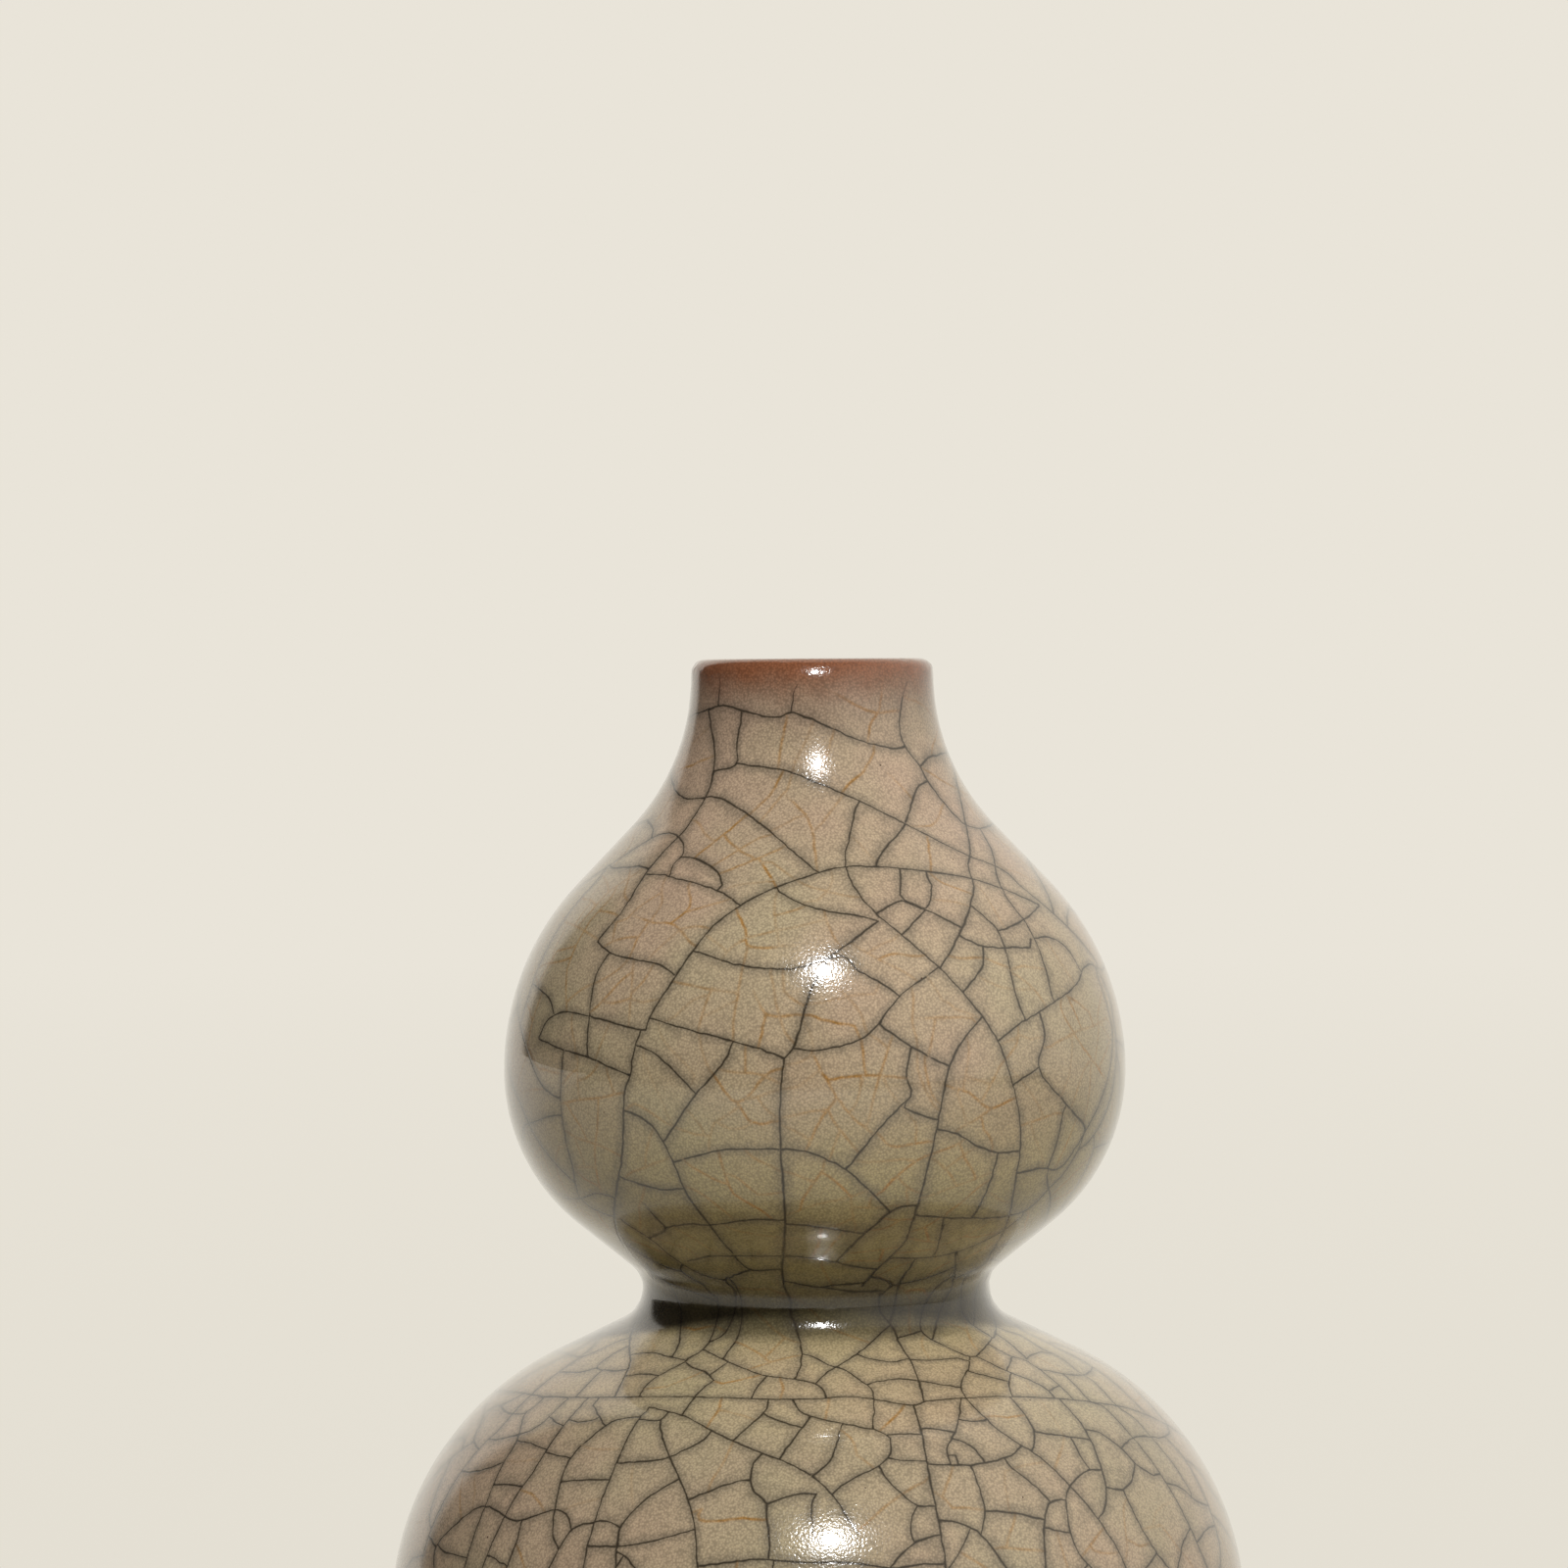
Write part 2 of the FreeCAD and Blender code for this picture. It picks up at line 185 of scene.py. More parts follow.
def buildFloor(setup):
    bpy.ops.mesh.primitive_circle_add(vertices=128, radius=setup["floorRadius"], fill_type="NGON")
    floor = bpy.context.object
    floor.name = "studioFloor"
    material, tree = newMaterial("matt cream backdrop paper")
    coord = addNode(tree, "TexCoord")
    reach = addNode(tree, "VectorMath", {0: coord.outputs["Object"]}, operation="LENGTH")
    far = addNode(tree, "MapRange", {
        "Value": reach, "From Min": setup["floorClear"], "From Max": setup["floorFade"]
    }, interpolation_type="SMOOTHSTEP")
    shade = addNode(tree, "MapRange", {
        "Value": reach, "From Min": setup["shadeFrom"], "From Max": setup["shadeTo"]
    })
    colour = addNode(tree, "Mix", {
        "Factor": shade, "A": hexColour(setup["backdropLow"]), "B": hexColour(setup["backdropTop"])
    }, data_type="RGBA")
    path = addNode(tree, "LightPath")
    shown = addNode(tree, "Math", {
        0: path.outputs["Is Camera Ray"], 1: path.outputs["Is Glossy Ray"]
    }, operation="MAXIMUM")
    paperColour = addNode(tree, "Mix", {
        "Factor": shown, "A": hexColour(setup["paperInShade"]), "B": hexColour(setup["paper"])
    }, data_type="RGBA")
    paper = addNode(tree, "BsdfPrincipled", {
        "Base Color": paperColour, "Roughness": setup["paperRoughness"],
        "Specular IOR Level": setup["paperSpecular"]
    })
    glow = addNode(tree, "Emission", {"Color": colour, "Strength": 1.0})
    seenFar = addNode(tree, "Math", {0: path.outputs["Is Camera Ray"], 1: far}, operation="MULTIPLY")
    # the sweep of paper behind the vase shows in the glaze at its outline
    split = addNode(tree, "SeparateXYZ", {"Vector": coord.outputs["Object"]})
    sweep = addNode(tree, "MapRange", {
        "Value": split.outputs["Y"], "From Min": setup["sweepFrom"], "From Max": setup["sweepTo"]
    }, interpolation_type="SMOOTHSTEP")
    mirrored = addNode(tree, "Math", {0: path.outputs["Is Glossy Ray"], 1: sweep}, operation="MULTIPLY")
    glowing = addNode(tree, "Math", {0: seenFar, 1: mirrored}, operation="MAXIMUM")
    mix = addNode(tree, "MixShader", {0: glowing, 1: paper, 2: glow})
    addNode(tree, "OutputMaterial", {"Surface": mix})
    floor.data.materials.append(material)
    return floor


def buildLamp(setup):
    data = bpy.data.lights.new("keyLamp", "AREA")
    data.shape = "DISK"
    data.size = setup["lampSize"]
    data.energy = setup["lampPower"]
    lamp = bpy.data.objects.new("keyLamp", data)
    bpy.context.scene.collection.objects.link(lamp)
    up, side = math.radians(setup["lampElevation"]), math.radians(setup["lampAzimuth"])
    aim = Vector((0, 0, setup["lampAim"]))
    away = Vector((math.sin(side) * math.cos(up), -math.cos(side) * math.cos(up), math.sin(up)))
    lamp.location = aim + away * setup["lampDistance"]
    lamp.rotation_euler = (-away).to_track_quat("-Z", "Y").to_euler()


buildWorld(studio)
buildFloor(studio)
buildLamp(studio)
bpy.context.scene.view_settings.view_transform = "Standard"
print("stage lit")

# Outline of the glazed outside, from the same driving sizes as the part itself
gourdShape = {
    "lowerBellyRadius": 74.1, "lowerBellyHeight": 62.6, "footRadius": 41.1, "glazeLine": 6.6,
    "waistRadius": 30.1, "waistHeight": 119.3, "lowerStraight": 14.0, "waistLowerArc": 6.8,
    "waistUpperArc": 4.9, "waistStraight": 12.3, "upperBellyRadius": 53.9, "upperBellyHeight": 156.9,
    "neckStraight": 13.6, "neckArc": 37.8, "throatRadius": 21.0, "throatHeight": 225.3,
    "lipRound": 2.3, "lipTopRadius": 17.5, "rim": 228.0,
    "sampleStep": 0.25, "edgeRoll": 0.5, "glazeDepth": 0.9, "lipGlazeDepth": 0.4,
}


def outlineTable(shape):
    # rows of radius, height and slope of the outward normal, from the foot up and onto the lip
    rows = []

    def arc(centreRadius, centreHeight, radius, start, end):
        # a hollow arc has a negative radius, so its normal points to its centre
        count = max(3, int(abs(radius * (end - start)) / shape["sampleStep"]) + 2)
        for slope in np.linspace(start, end, count):
            rows.append((centreRadius + radius * math.cos(slope),
                         centreHeight + radius * math.sin(slope), slope))

    def straightTo(radius, height):
        startRadius, startHeight, slope = rows[-1]
        count = int(math.hypot(radius - startRadius, height - startHeight) / shape["sampleStep"]) + 2
        for share in np.linspace(0, 1, count)[1:-1]:
            rows.append((startRadius + share * (radius - startRadius),
                         startHeight + share * (height - startHeight), slope))

    def tangentArcs(bellyRadius, bellyHeight, hollowRadius, hollowHeight, straight, hollow):
        # full arc beside a belly, and the slope of the straight that runs from it to the hollow
        across, along = bellyRadius - hollowRadius, abs(hollowHeight - bellyHeight)
        full = (across ** 2 + along ** 2 - straight ** 2) / (2 * across) - hollow
        run = (hollowRadius + hollow - bellyRadius + full, hollowHeight - bellyHeight)
        lean = math.acos((full + hollow) / math.hypot(*run))
        return full, math.atan2(run[1], run[0]) - math.copysign(lean, run[1])

    belly, foot = shape["lowerBellyRadius"], shape["footRadius"]
    drop = shape["lowerBellyHeight"] - shape["glazeLine"]
    baseArc = ((belly - foot) ** 2 + drop ** 2) / (2 * (belly - foot))
    arc(belly - baseArc, shape["lowerBellyHeight"], baseArc, -math.asin(drop / baseArc), 0)
    full, slope = tangentArcs(belly, shape["lowerBellyHeight"], shape["waistRadius"], shape["waistHeight"],
                              shape["lowerStraight"], shape["waistLowerArc"])
    arc(belly - full, shape["lowerBellyHeight"], full, 0, slope)
    hollow = shape["waistLowerArc"]
    centre = shape["waistRadius"] + hollow
    straightTo(centre - hollow * math.cos(slope), shape["waistHeight"] - hollow * math.sin(slope))
    arc(centre, shape["waistHeight"], -hollow, slope, 0)
    belly, hollow = shape["upperBellyRadius"], shape["waistUpperArc"]
    full, slope = tangentArcs(belly, shape["upperBellyHeight"], shape["waistRadius"], shape["waistHeight"],
                              shape["waistStraight"], hollow)
    arc(shape["waistRadius"] + hollow, shape["waistHeight"], -hollow, 0, slope)
    straightTo(belly - full + full * math.cos(slope), shape["upperBellyHeight"] + full * math.sin(slope))
    arc(belly - full, shape["upperBellyHeight"], full, slope, 0)
    hollow = shape["neckArc"]
    full, slope = tangentArcs(belly, shape["upperBellyHeight"], shape["throatRadius"],
                              shape["throatHeight"], shape["neckStraight"], hollow)
    arc(belly - full, shape["upperBellyHeight"], full, 0, slope)
    centre = shape["throatRadius"] + hollow
    straightTo(centre - hollow * math.cos(slope), shape["throatHeight"] - hollow * math.sin(slope))
    arc(centre, shape["throatHeight"], -hollow, slope, 0)
    lip = shape["lipRound"]
    arc(shape["throatRadius"] - lip, shape["rim"] - lip, lip, 0, math.pi / 2)
    straightTo(shape["lipTopRadius"], shape["rim"])
    rows.append((shape["lipTopRadius"], shape["rim"], math.pi / 2))
    return np.array(rows)


outline = outlineTable(gourdShape)
outlineSteps = np.hypot(np.diff(outline[:, 0]), np.diff(outline[:, 1]))
kept = np.concatenate(([True], outlineSteps > 1e-6))
outline = outline[kept]
outlineSteps = np.hypot(np.diff(outline[:, 0]), np.diff(outline[:, 1]))
# climb: distance along the outline over the radius, so one step of it is as long as one of bearing
outlineClimb = np.concatenate(([0], np.cumsum(outlineSteps * 2 / (outline[1:, 0] + outline[:-1, 0]))))
outlineLength = np.concatenate(([0], np.cumsum(outlineSteps)))


def alongOutline(climb, column):
    # radius, height or slope at one climb or at many
    found = np.interp(climb, outlineClimb, outline[:, column])
    return found if found.ndim else float(found)


def radiusAt(climb):
    return alongOutline(climb, 0)


def heightAt(climb):
    return alongOutline(climb, 1)


def slopeAt(climb):
    return alongOutline(climb, 2)


def climbAt(height):
    return float(np.interp(height, outline[:, 1], outlineClimb))


climbOf = {"glazeEdge": climbAt(gourdShape["glazeLine"] + gourdShape["edgeRoll"]),
           "lipEnd": float(outlineClimb[-1])}
print("outline", len(outline), "rows,", round(float(outlineLength[-1]), 1), "mm long, climb", climbOf)


def onGlaze(bearing, climb, depth=0.0):
    # places on the glaze in mm, and the outward normals, for bearings (0 faces the camera) and climbs
    slope = slopeAt(climb)
    radius = radiusAt(climb) - depth * np.cos(slope)
    height = heightAt(climb) - depth * np.sin(slope)
    across, towards = np.sin(bearing), -np.cos(bearing)
    places = np.stack([radius * across, radius * towards, height], axis=-1)
    normals = np.stack([np.cos(slope) * across, np.cos(slope) * towards, np.sin(slope)], axis=-1)
    return places, normals


def photoToGlaze(pixels, view):
    # bearing and climb under each pixel of the photograph's frame, and how squarely the glaze faces it
    turn = np.array(camera.rotation_euler.to_matrix())
    eye = np.array(camera.location) / mm
    focal = view["framePixels"] * view["focalLength"] / view["sensor"]
    middle = view["framePixels"] / 2
    reach = np.linspace(view["nearest"], view["farthest"], view["looks"])
    found = []
    for x, y in pixels:
        ray = turn @ np.array([(x - middle) / focal, (middle - y) / focal, -1.0])
        track = eye + reach[:, None] * ray
        gap = np.hypot(track[:, 0], track[:, 1]) - np.interp(track[:, 2], outline[:, 1], outline[:, 0])
        gap[track[:, 2] > gourdShape["rim"]] = view["overRim"]
        inside = np.nonzero(gap < 0)[0]
        if len(inside):
            i = inside[0]
            share = gap[i - 1] / (gap[i - 1] - gap[i])
            place = track[i - 1] + share * (track[i] - track[i - 1])
        else:
            place = track[int(np.argmin(gap))]
        bearing = math.atan2(place[0], -place[1])
        climb = climbAt(place[2])
        normal = onGlaze(bearing, climb)[1]
        found.append((bearing, climb, float(-(normal @ ray) / np.linalg.norm(ray))))
    return found


# Cracks and gold threads read off the photograph: runs of x, y pixels of its 1600 frame
neckCracks = [
    [701, 735, 725, 723, 739, 720, 779, 731, 794, 731, 807, 727, 824, 732, 879, 756, 914, 764, 924, 762],
    [735, 687, 733, 718],
    [814, 698, 811, 704, 807, 727],
    [723, 725, 729, 767, 728, 787, 722, 809, 712, 827, 695, 851, 677, 869, 660, 890, 634, 931, 612, 957],
    [757, 725, 752, 762, 752, 779, 742, 784, 729, 787],
    [752, 779, 799, 786, 817, 792, 889, 823, 988, 873, 1016, 884, 1028, 891, 1046, 908, 1119, 982],
    [926, 695, 922, 707, 919, 725, 918, 742, 921, 757, 938, 781, 948, 799, 963, 819, 983, 840, 991, 844,
     1001, 845, 1011, 842],
    [940, 781, 948, 773, 961, 769],
    [945, 798, 936, 804, 920, 847, 904, 864, 896, 876, 894, 885],
    [685, 792, 690, 807, 701, 815, 727, 813, 744, 819, 764, 832, 784, 847, 835, 890],
    [640, 871, 670, 853, 686, 850, 695, 857, 698, 866, 695, 874, 688, 881, 684, 892],
    [695, 875, 710, 876, 725, 884, 733, 891, 737, 903],
    [873, 825, 864, 866, 863, 884, 870, 902, 883, 921, 896, 934, 959, 988, 984, 1014, 1018, 1062,
     1030, 1094, 1039, 1131, 1041, 1174, 1035, 1211, 1005, 1287],
    [976, 799, 987, 849, 990, 870, 988, 886, 993, 900, 990, 925, 980, 950, 967, 976, 959, 988],
    [1001, 847, 1011, 866, 1018, 896, 1028, 917, 1047, 942, 1056, 959, 1074, 1018],
    [661, 837, 666, 846, 665, 856],
    [640, 885, 655, 884, 662, 886],
]
# runs below about y 1245 lie on the underside of the upper bulb, which mirrors the shoulder: partly its own
# cracks, partly the shoulder's cracks drawn there as painted reflection
upperBellyCracks = [
    [659, 1051, 663, 1038, 681, 1009, 731, 942, 756, 924, 795, 904, 835, 891, 858, 885, 904, 885, 988, 896,
     1026, 908, 1060, 923],
    [660, 892, 681, 894, 736, 910, 756, 924],
    [610, 961, 622, 972, 651, 980, 673, 984, 688, 995],
    [622, 972, 609, 993, 601, 1039, 599, 1079],
    [550, 1058, 559, 1041, 576, 1033, 601, 1037, 654, 1051],
    [550, 1060, 572, 1070, 599, 1079, 639, 1096],
    [546, 1094, 555, 1110, 569, 1120],
    [654, 1051, 647, 1072, 643, 1098, 638, 1110, 635, 1178, 639, 1275],
    [654, 1068, 668, 1075, 689, 1094, 710, 1116],
    [663, 1039, 774, 1070, 801, 1080],
    [748, 1063, 740, 1081, 710, 1117, 679, 1163],
    [639, 1134, 654, 1140, 668, 1152, 685, 1182, 702, 1220, 723, 1249, 748, 1279],
    [688, 1186, 715, 1178, 744, 1173, 822, 1175, 841, 1182, 864, 1194, 902, 1230],
    [845, 978, 828, 1009, 809, 1070, 801, 1080, 797, 1115, 796, 1148, 801, 1245, 800, 1312, 806, 1326,
     807, 1340, 813, 1356, 818, 1380, 817, 1392, 811, 1408],
    [709, 971, 761, 986, 795, 989, 811, 988, 845, 978],
    [809, 1070, 832, 1072, 879, 1060, 896, 1045, 917, 1018, 959, 986],
    [795, 910, 820, 923, 845, 930, 875, 934, 896, 940],
    [896, 940, 845, 978],
    [845, 978, 862, 976, 875, 990, 900, 1003, 917, 1016],
    [896, 931, 921, 919, 942, 927, 980, 946],
    [919, 894, 921, 917, 944, 927, 950, 904, 946, 894],
    [944, 929, 921, 953],
    [992, 925, 1005, 936, 1018, 950, 1037, 1018, 1046, 1039],
    [980, 955, 1001, 965, 1051, 967],
    [1003, 967, 1003, 984, 984, 1011],
    [1018, 1062, 1043, 1043, 1077, 1022, 1098, 1005, 1106, 988, 1117, 986, 1131, 1014],
    [1060, 1030, 1066, 1056, 1060, 1089, 1085, 1123, 1106, 1148],
    [1060, 1089, 1035, 1106],
    [898, 1045, 921, 1062, 946, 1077, 969, 1088],
    [1001, 1039, 984, 1060, 969, 1089, 950, 1178, 933, 1241, 921, 1270, 908, 1283],
    [929, 1072, 925, 1098, 930, 1117, 923, 1129, 952, 1142],
    [929, 1119, 904, 1144, 864, 1192],
    [955, 1152, 976, 1157, 997, 1169, 1018, 1176, 1039, 1175],
    [1039, 1197, 1060, 1192, 1081, 1192, 1106, 1157, 1131, 1098],
    [1085, 1134, 1070, 1190],
    [1072, 1211, 1047, 1235, 1026, 1241, 988, 1243, 933, 1240],
    [933, 1230, 917, 1232, 879, 1262, 854, 1287],
    [803, 1249, 828, 1251, 881, 1259],
    [679, 1253, 702, 1249, 727, 1250, 761, 1245, 801, 1245],
    [637, 1203, 677, 1214, 696, 1213],
    [702, 1287, 727, 1282, 800, 1282, 824, 1283, 854, 1288],
    [908, 1284, 963, 1281, 1005, 1266, 1043, 1241],
    [963, 1243, 955, 1277],
    [1018, 1178, 1001, 1228, 990, 1245],
    [637, 1247, 662, 1263, 685, 1282, 695, 1289, 715, 1300, 740, 1307],
    [657, 1228, 667, 1240, 679, 1253, 671, 1260, 663, 1263],
    [640, 1270, 657, 1281, 677, 1292, 695, 1297],
    [702, 1287, 696, 1290, 696, 1298, 703, 1303, 715, 1309, 725, 1320],
    [748, 1279, 752, 1285, 762, 1294, 767, 1296, 799, 1295],
    [766, 1296, 753, 1300, 740, 1307, 749, 1316, 751, 1323],
    [800, 1307, 809, 1309, 826, 1312],
    [841, 1313, 857, 1311, 882, 1309],
    [854, 1288, 868, 1292, 894, 1295],
    [908, 1284, 893, 1297, 880, 1312],
    [889, 1303, 902, 1306, 910, 1312, 901, 1320],
    [910, 1312, 924, 1309],
    [934, 1284, 928, 1294, 922, 1302],
    [961, 1311, 973, 1305, 987, 1299, 1003, 1291, 1012, 1274],
    [975, 1290, 973, 1305],
    [660, 1294, 677, 1306, 692, 1313, 712, 1320],
    [1018, 950, 1032, 945, 1045, 938, 1060, 925],
    [1052, 958, 1068, 956, 1080, 960, 1092, 972, 1101, 988],
    [1131, 1014, 1136, 1040, 1139, 1066, 1137, 1100],
    [574, 1079, 572, 1115, 584, 1190, 595, 1226, 635, 1245],
]
lowerBellyCracks = [
    [512, 1420, 530, 1421, 555, 1425, 600, 1426, 700, 1425, 800, 1428, 840, 1427, 860, 1425, 880, 1426,
     933, 1434, 945, 1430, 1030, 1425, 1137, 1434, 1160, 1440, 1200, 1460],
    [700, 1389, 672, 1404, 662, 1411, 652, 1425],
    [700, 1388, 662, 1380, 646, 1382],
    [650, 1346, 643, 1390, 638, 1404, 627, 1426],
    [638, 1404, 658, 1402, 673, 1404],
    [641, 1397, 628, 1399, 615, 1398, 609, 1395, 632, 1378, 660, 1366],
    [609, 1396, 592, 1400, 575, 1400],
    [594, 1384, 540, 1425, 508, 1460, 497, 1470, 472, 1500, 442, 1556, 429, 1600],
    [580, 1382, 596, 1384, 630, 1369, 640, 1366],
    [556, 1425, 545, 1436, 538, 1440, 527, 1471, 514, 1492, 495, 1537, 474, 1600],
    [614, 1399, 588, 1425],
    [580, 1427, 548, 1456, 512, 1468, 497, 1469],
    [600, 1427, 560, 1476, 544, 1502, 532, 1518, 506, 1566, 492, 1600],
    [561, 1446, 570, 1453, 577, 1455],
    [582, 1449, 590, 1451, 602, 1450, 612, 1446],
    [605, 1434, 618, 1455],
    [654, 1446, 630, 1449, 618, 1455, 604, 1466, 582, 1488, 566, 1540, 564, 1566, 571, 1583],
    [668, 1427, 662, 1437, 652, 1448, 622, 1510, 602, 1568, 595, 1600],
    [682, 1441, 674, 1449, 652, 1448],
    [674, 1449, 674, 1460, 706, 1542, 712, 1600],
    [726, 1460, 716, 1470, 684, 1486, 670, 1490, 630, 1493],
    [693, 1509, 663, 1527, 648, 1540, 633, 1559, 630, 1573, 628, 1600],
    [707, 1561, 660, 1574, 640, 1577, 601, 1578],
    [633, 1559, 616, 1552, 588, 1558, 583, 1561, 560, 1600],
    [583, 1561, 581, 1550, 576, 1544, 566, 1541, 532, 1551, 522, 1551, 508, 1542, 496, 1537, 486, 1539,
     476, 1546, 445, 1578, 443, 1586, 443, 1600],
    [438, 1568, 445, 1578],
    [574, 1512, 590, 1510, 623, 1510],
    [556, 1482, 582, 1488],
    [528, 1470, 538, 1472, 558, 1479],
    [504, 1515, 520, 1515, 534, 1517],
    [472, 1501, 482, 1502, 496, 1499, 514, 1492],
    [533, 1551, 527, 1574, 517, 1600],
    [500, 1588, 517, 1598],
    [494, 1440, 491, 1452, 484, 1468, 486, 1476, 489, 1479],
    [483, 1471, 452, 1496, 440, 1510],
    [534, 1422, 520, 1430, 500, 1438],
    [511, 1434, 516, 1440, 526, 1443, 538, 1442],
    [432, 1588, 422, 1590, 416, 1598],
    [732, 1324, 733, 1340, 730, 1354, 716, 1378, 700, 1389, 720, 1401, 729, 1409, 737, 1412],
    [729, 1408, 718, 1416, 710, 1424, 696, 1444],
    [724, 1403, 743, 1390],
    [720, 1378, 744, 1390, 772, 1401, 782, 1404, 808, 1407, 832, 1412, 840, 1418, 844, 1427],
    [754, 1361, 750, 1370, 738, 1386],
    [693, 1330, 694, 1360, 692, 1374, 686, 1384],
    [780, 1407, 772, 1416, 767, 1426],
    [819, 1382, 828, 1384, 852, 1395, 860, 1397, 884, 1413, 890, 1420, 892, 1430, 890, 1459],
    [832, 1412, 842, 1402, 872, 1383, 891, 1368],
    [884, 1413, 896, 1410, 920, 1407, 981, 1416],
    [882, 1385, 910, 1390, 924, 1387, 940, 1388, 978, 1386],
    [898, 1320, 898, 1340, 906, 1348, 913, 1358, 917, 1370, 930, 1390, 943, 1430],
    [913, 1366, 940, 1358],
    [662, 1436, 696, 1444, 726, 1460, 780, 1484, 796, 1489, 828, 1506, 842, 1517, 850, 1526, 876, 1566],
    [784, 1428, 783, 1434, 779, 1442, 750, 1468],
    [779, 1442, 790, 1448, 819, 1457],
    [809, 1428, 813, 1436, 820, 1442, 842, 1449, 890, 1459, 906, 1465, 909, 1482, 906, 1487, 896, 1496,
     868, 1510, 856, 1518, 849, 1525],
    [828, 1444, 796, 1488],
    [859, 1454, 852, 1478, 846, 1492, 829, 1506],
    [896, 1496, 914, 1519, 936, 1536, 955, 1537],
    [906, 1464, 924, 1463, 941, 1464],
    [906, 1487, 918, 1490, 945, 1491],
    [777, 1484, 769, 1494, 766, 1506, 766, 1514, 770, 1522, 778, 1529, 782, 1536, 782, 1548, 785, 1564,
     784, 1600],
    [701, 1531, 744, 1514, 756, 1511, 766, 1511],
    [782, 1535, 808, 1526, 822, 1523, 834, 1525],
    [842, 1517, 829, 1532, 830, 1566],
    [712, 1598, 776, 1591, 812, 1594],
    [630, 1584, 638, 1588, 648, 1600],
    [972, 1304, 972, 1312, 966, 1322, 952, 1366],
    [988, 1300, 981, 1328, 982, 1340, 1000, 1357, 1011, 1364],
    [940, 1340, 940, 1358, 946, 1364, 980, 1381, 988, 1384, 996, 1384],
    [996, 1384, 1008, 1371, 1016, 1353, 1010, 1330],
    [1008, 1371, 1032, 1384, 1046, 1388, 1072, 1406, 1096, 1429],
    [996, 1384, 1032, 1401, 1048, 1407, 1070, 1419, 1077, 1428],
    [990, 1385, 989, 1394, 982, 1408, 981, 1416, 984, 1424, 998, 1440, 1020, 1460, 1042, 1475, 1052, 1480,
     1092, 1516, 1140, 1580, 1149, 1600],
    [988, 1399, 1030, 1410],
    [1032, 1401, 1030, 1410, 1031, 1420, 1034, 1426],
    [1033, 1384, 1027, 1398],
    [1031, 1426, 1050, 1450, 1055, 1460, 1056, 1470, 1053, 1480],
    [1056, 1461, 1112, 1469],
    [1083, 1430, 1104, 1454, 1110, 1464, 1122, 1492, 1129, 1518, 1129, 1530, 1126, 1542, 1120, 1552],
    [1108, 1459, 1120, 1461, 1144, 1478, 1158, 1493, 1168, 1500, 1176, 1505, 1183, 1504],
    [1092, 1466, 1104, 1488, 1112, 1499],
    [1124, 1500, 1112, 1500, 1104, 1504, 1097, 1510, 1089, 1522, 1088, 1530, 1091, 1558, 1095, 1572, 1100,
     1584, 1114, 1600],
    [1088, 1531, 1080, 1530, 1072, 1533, 1068, 1540, 1065, 1558, 1067, 1600],
    [1065, 1559, 1092, 1564],
    [1025, 1488, 1032, 1497, 1056, 1516, 1072, 1533],
    [1042, 1476, 1034, 1484, 1025, 1488, 1004, 1493, 990, 1495, 946, 1494],
    [932, 1434, 943, 1474, 948, 1506, 958, 1552, 965, 1600],
    [940, 1458, 954, 1458, 975, 1462],
    [980, 1418, 980, 1436, 978, 1448, 975, 1460, 967, 1476, 967, 1484, 970, 1494],
    [978, 1448, 990, 1450, 1000, 1450, 1008, 1448],
    [972, 1468, 984, 1472, 994, 1478, 1005, 1493],
    [975, 1485, 978, 1494],
    [991, 1496, 996, 1508, 1004, 1536, 1005, 1546, 1001, 1566],
    [1005, 1542, 1020, 1542, 1036, 1544, 1066, 1551],
    [958, 1551, 970, 1552, 984, 1556, 996, 1562, 1008, 1574, 1027, 1600],
    [960, 1566, 946, 1569, 934, 1575, 922, 1584, 908, 1600],
    [936, 1537, 932, 1544, 929, 1556, 930, 1566, 934, 1575],
    [1070, 1419, 1080, 1414],
    [1046, 1388, 1052, 1383, 1062, 1380, 1074, 1381],
    [1016, 1353, 1026, 1358, 1040, 1362, 1064, 1377, 1074, 1381, 1086, 1388, 1098, 1398, 1116, 1410,
     1140, 1435, 1156, 1446, 1176, 1468, 1200, 1498, 1215, 1523],
    [1012, 1358, 1028, 1369, 1048, 1387],
    [1060, 1397, 1086, 1402, 1106, 1403, 1112, 1399, 1115, 1395],
    [1086, 1403, 1114, 1431, 1124, 1434, 1148, 1458, 1184, 1504, 1222, 1576, 1232, 1600],
    [1144, 1478, 1152, 1470, 1160, 1466, 1184, 1467],
    [1190, 1514, 1200, 1516, 1210, 1522, 1218, 1530, 1226, 1534],
    [1200, 1478, 1208, 1488, 1244, 1574, 1245, 1600],
    [1222, 1573, 1230, 1562, 1238, 1557],
    [1128, 1517, 1138, 1520, 1146, 1520, 1153, 1514, 1157, 1504, 1158, 1494],
    [1146, 1521, 1162, 1554, 1180, 1584, 1193, 1600],
    [1213, 1562, 1207, 1574, 1202, 1600],
    [1180, 1585, 1169, 1600],
    [1084, 1378, 1100, 1386, 1170, 1444],
]
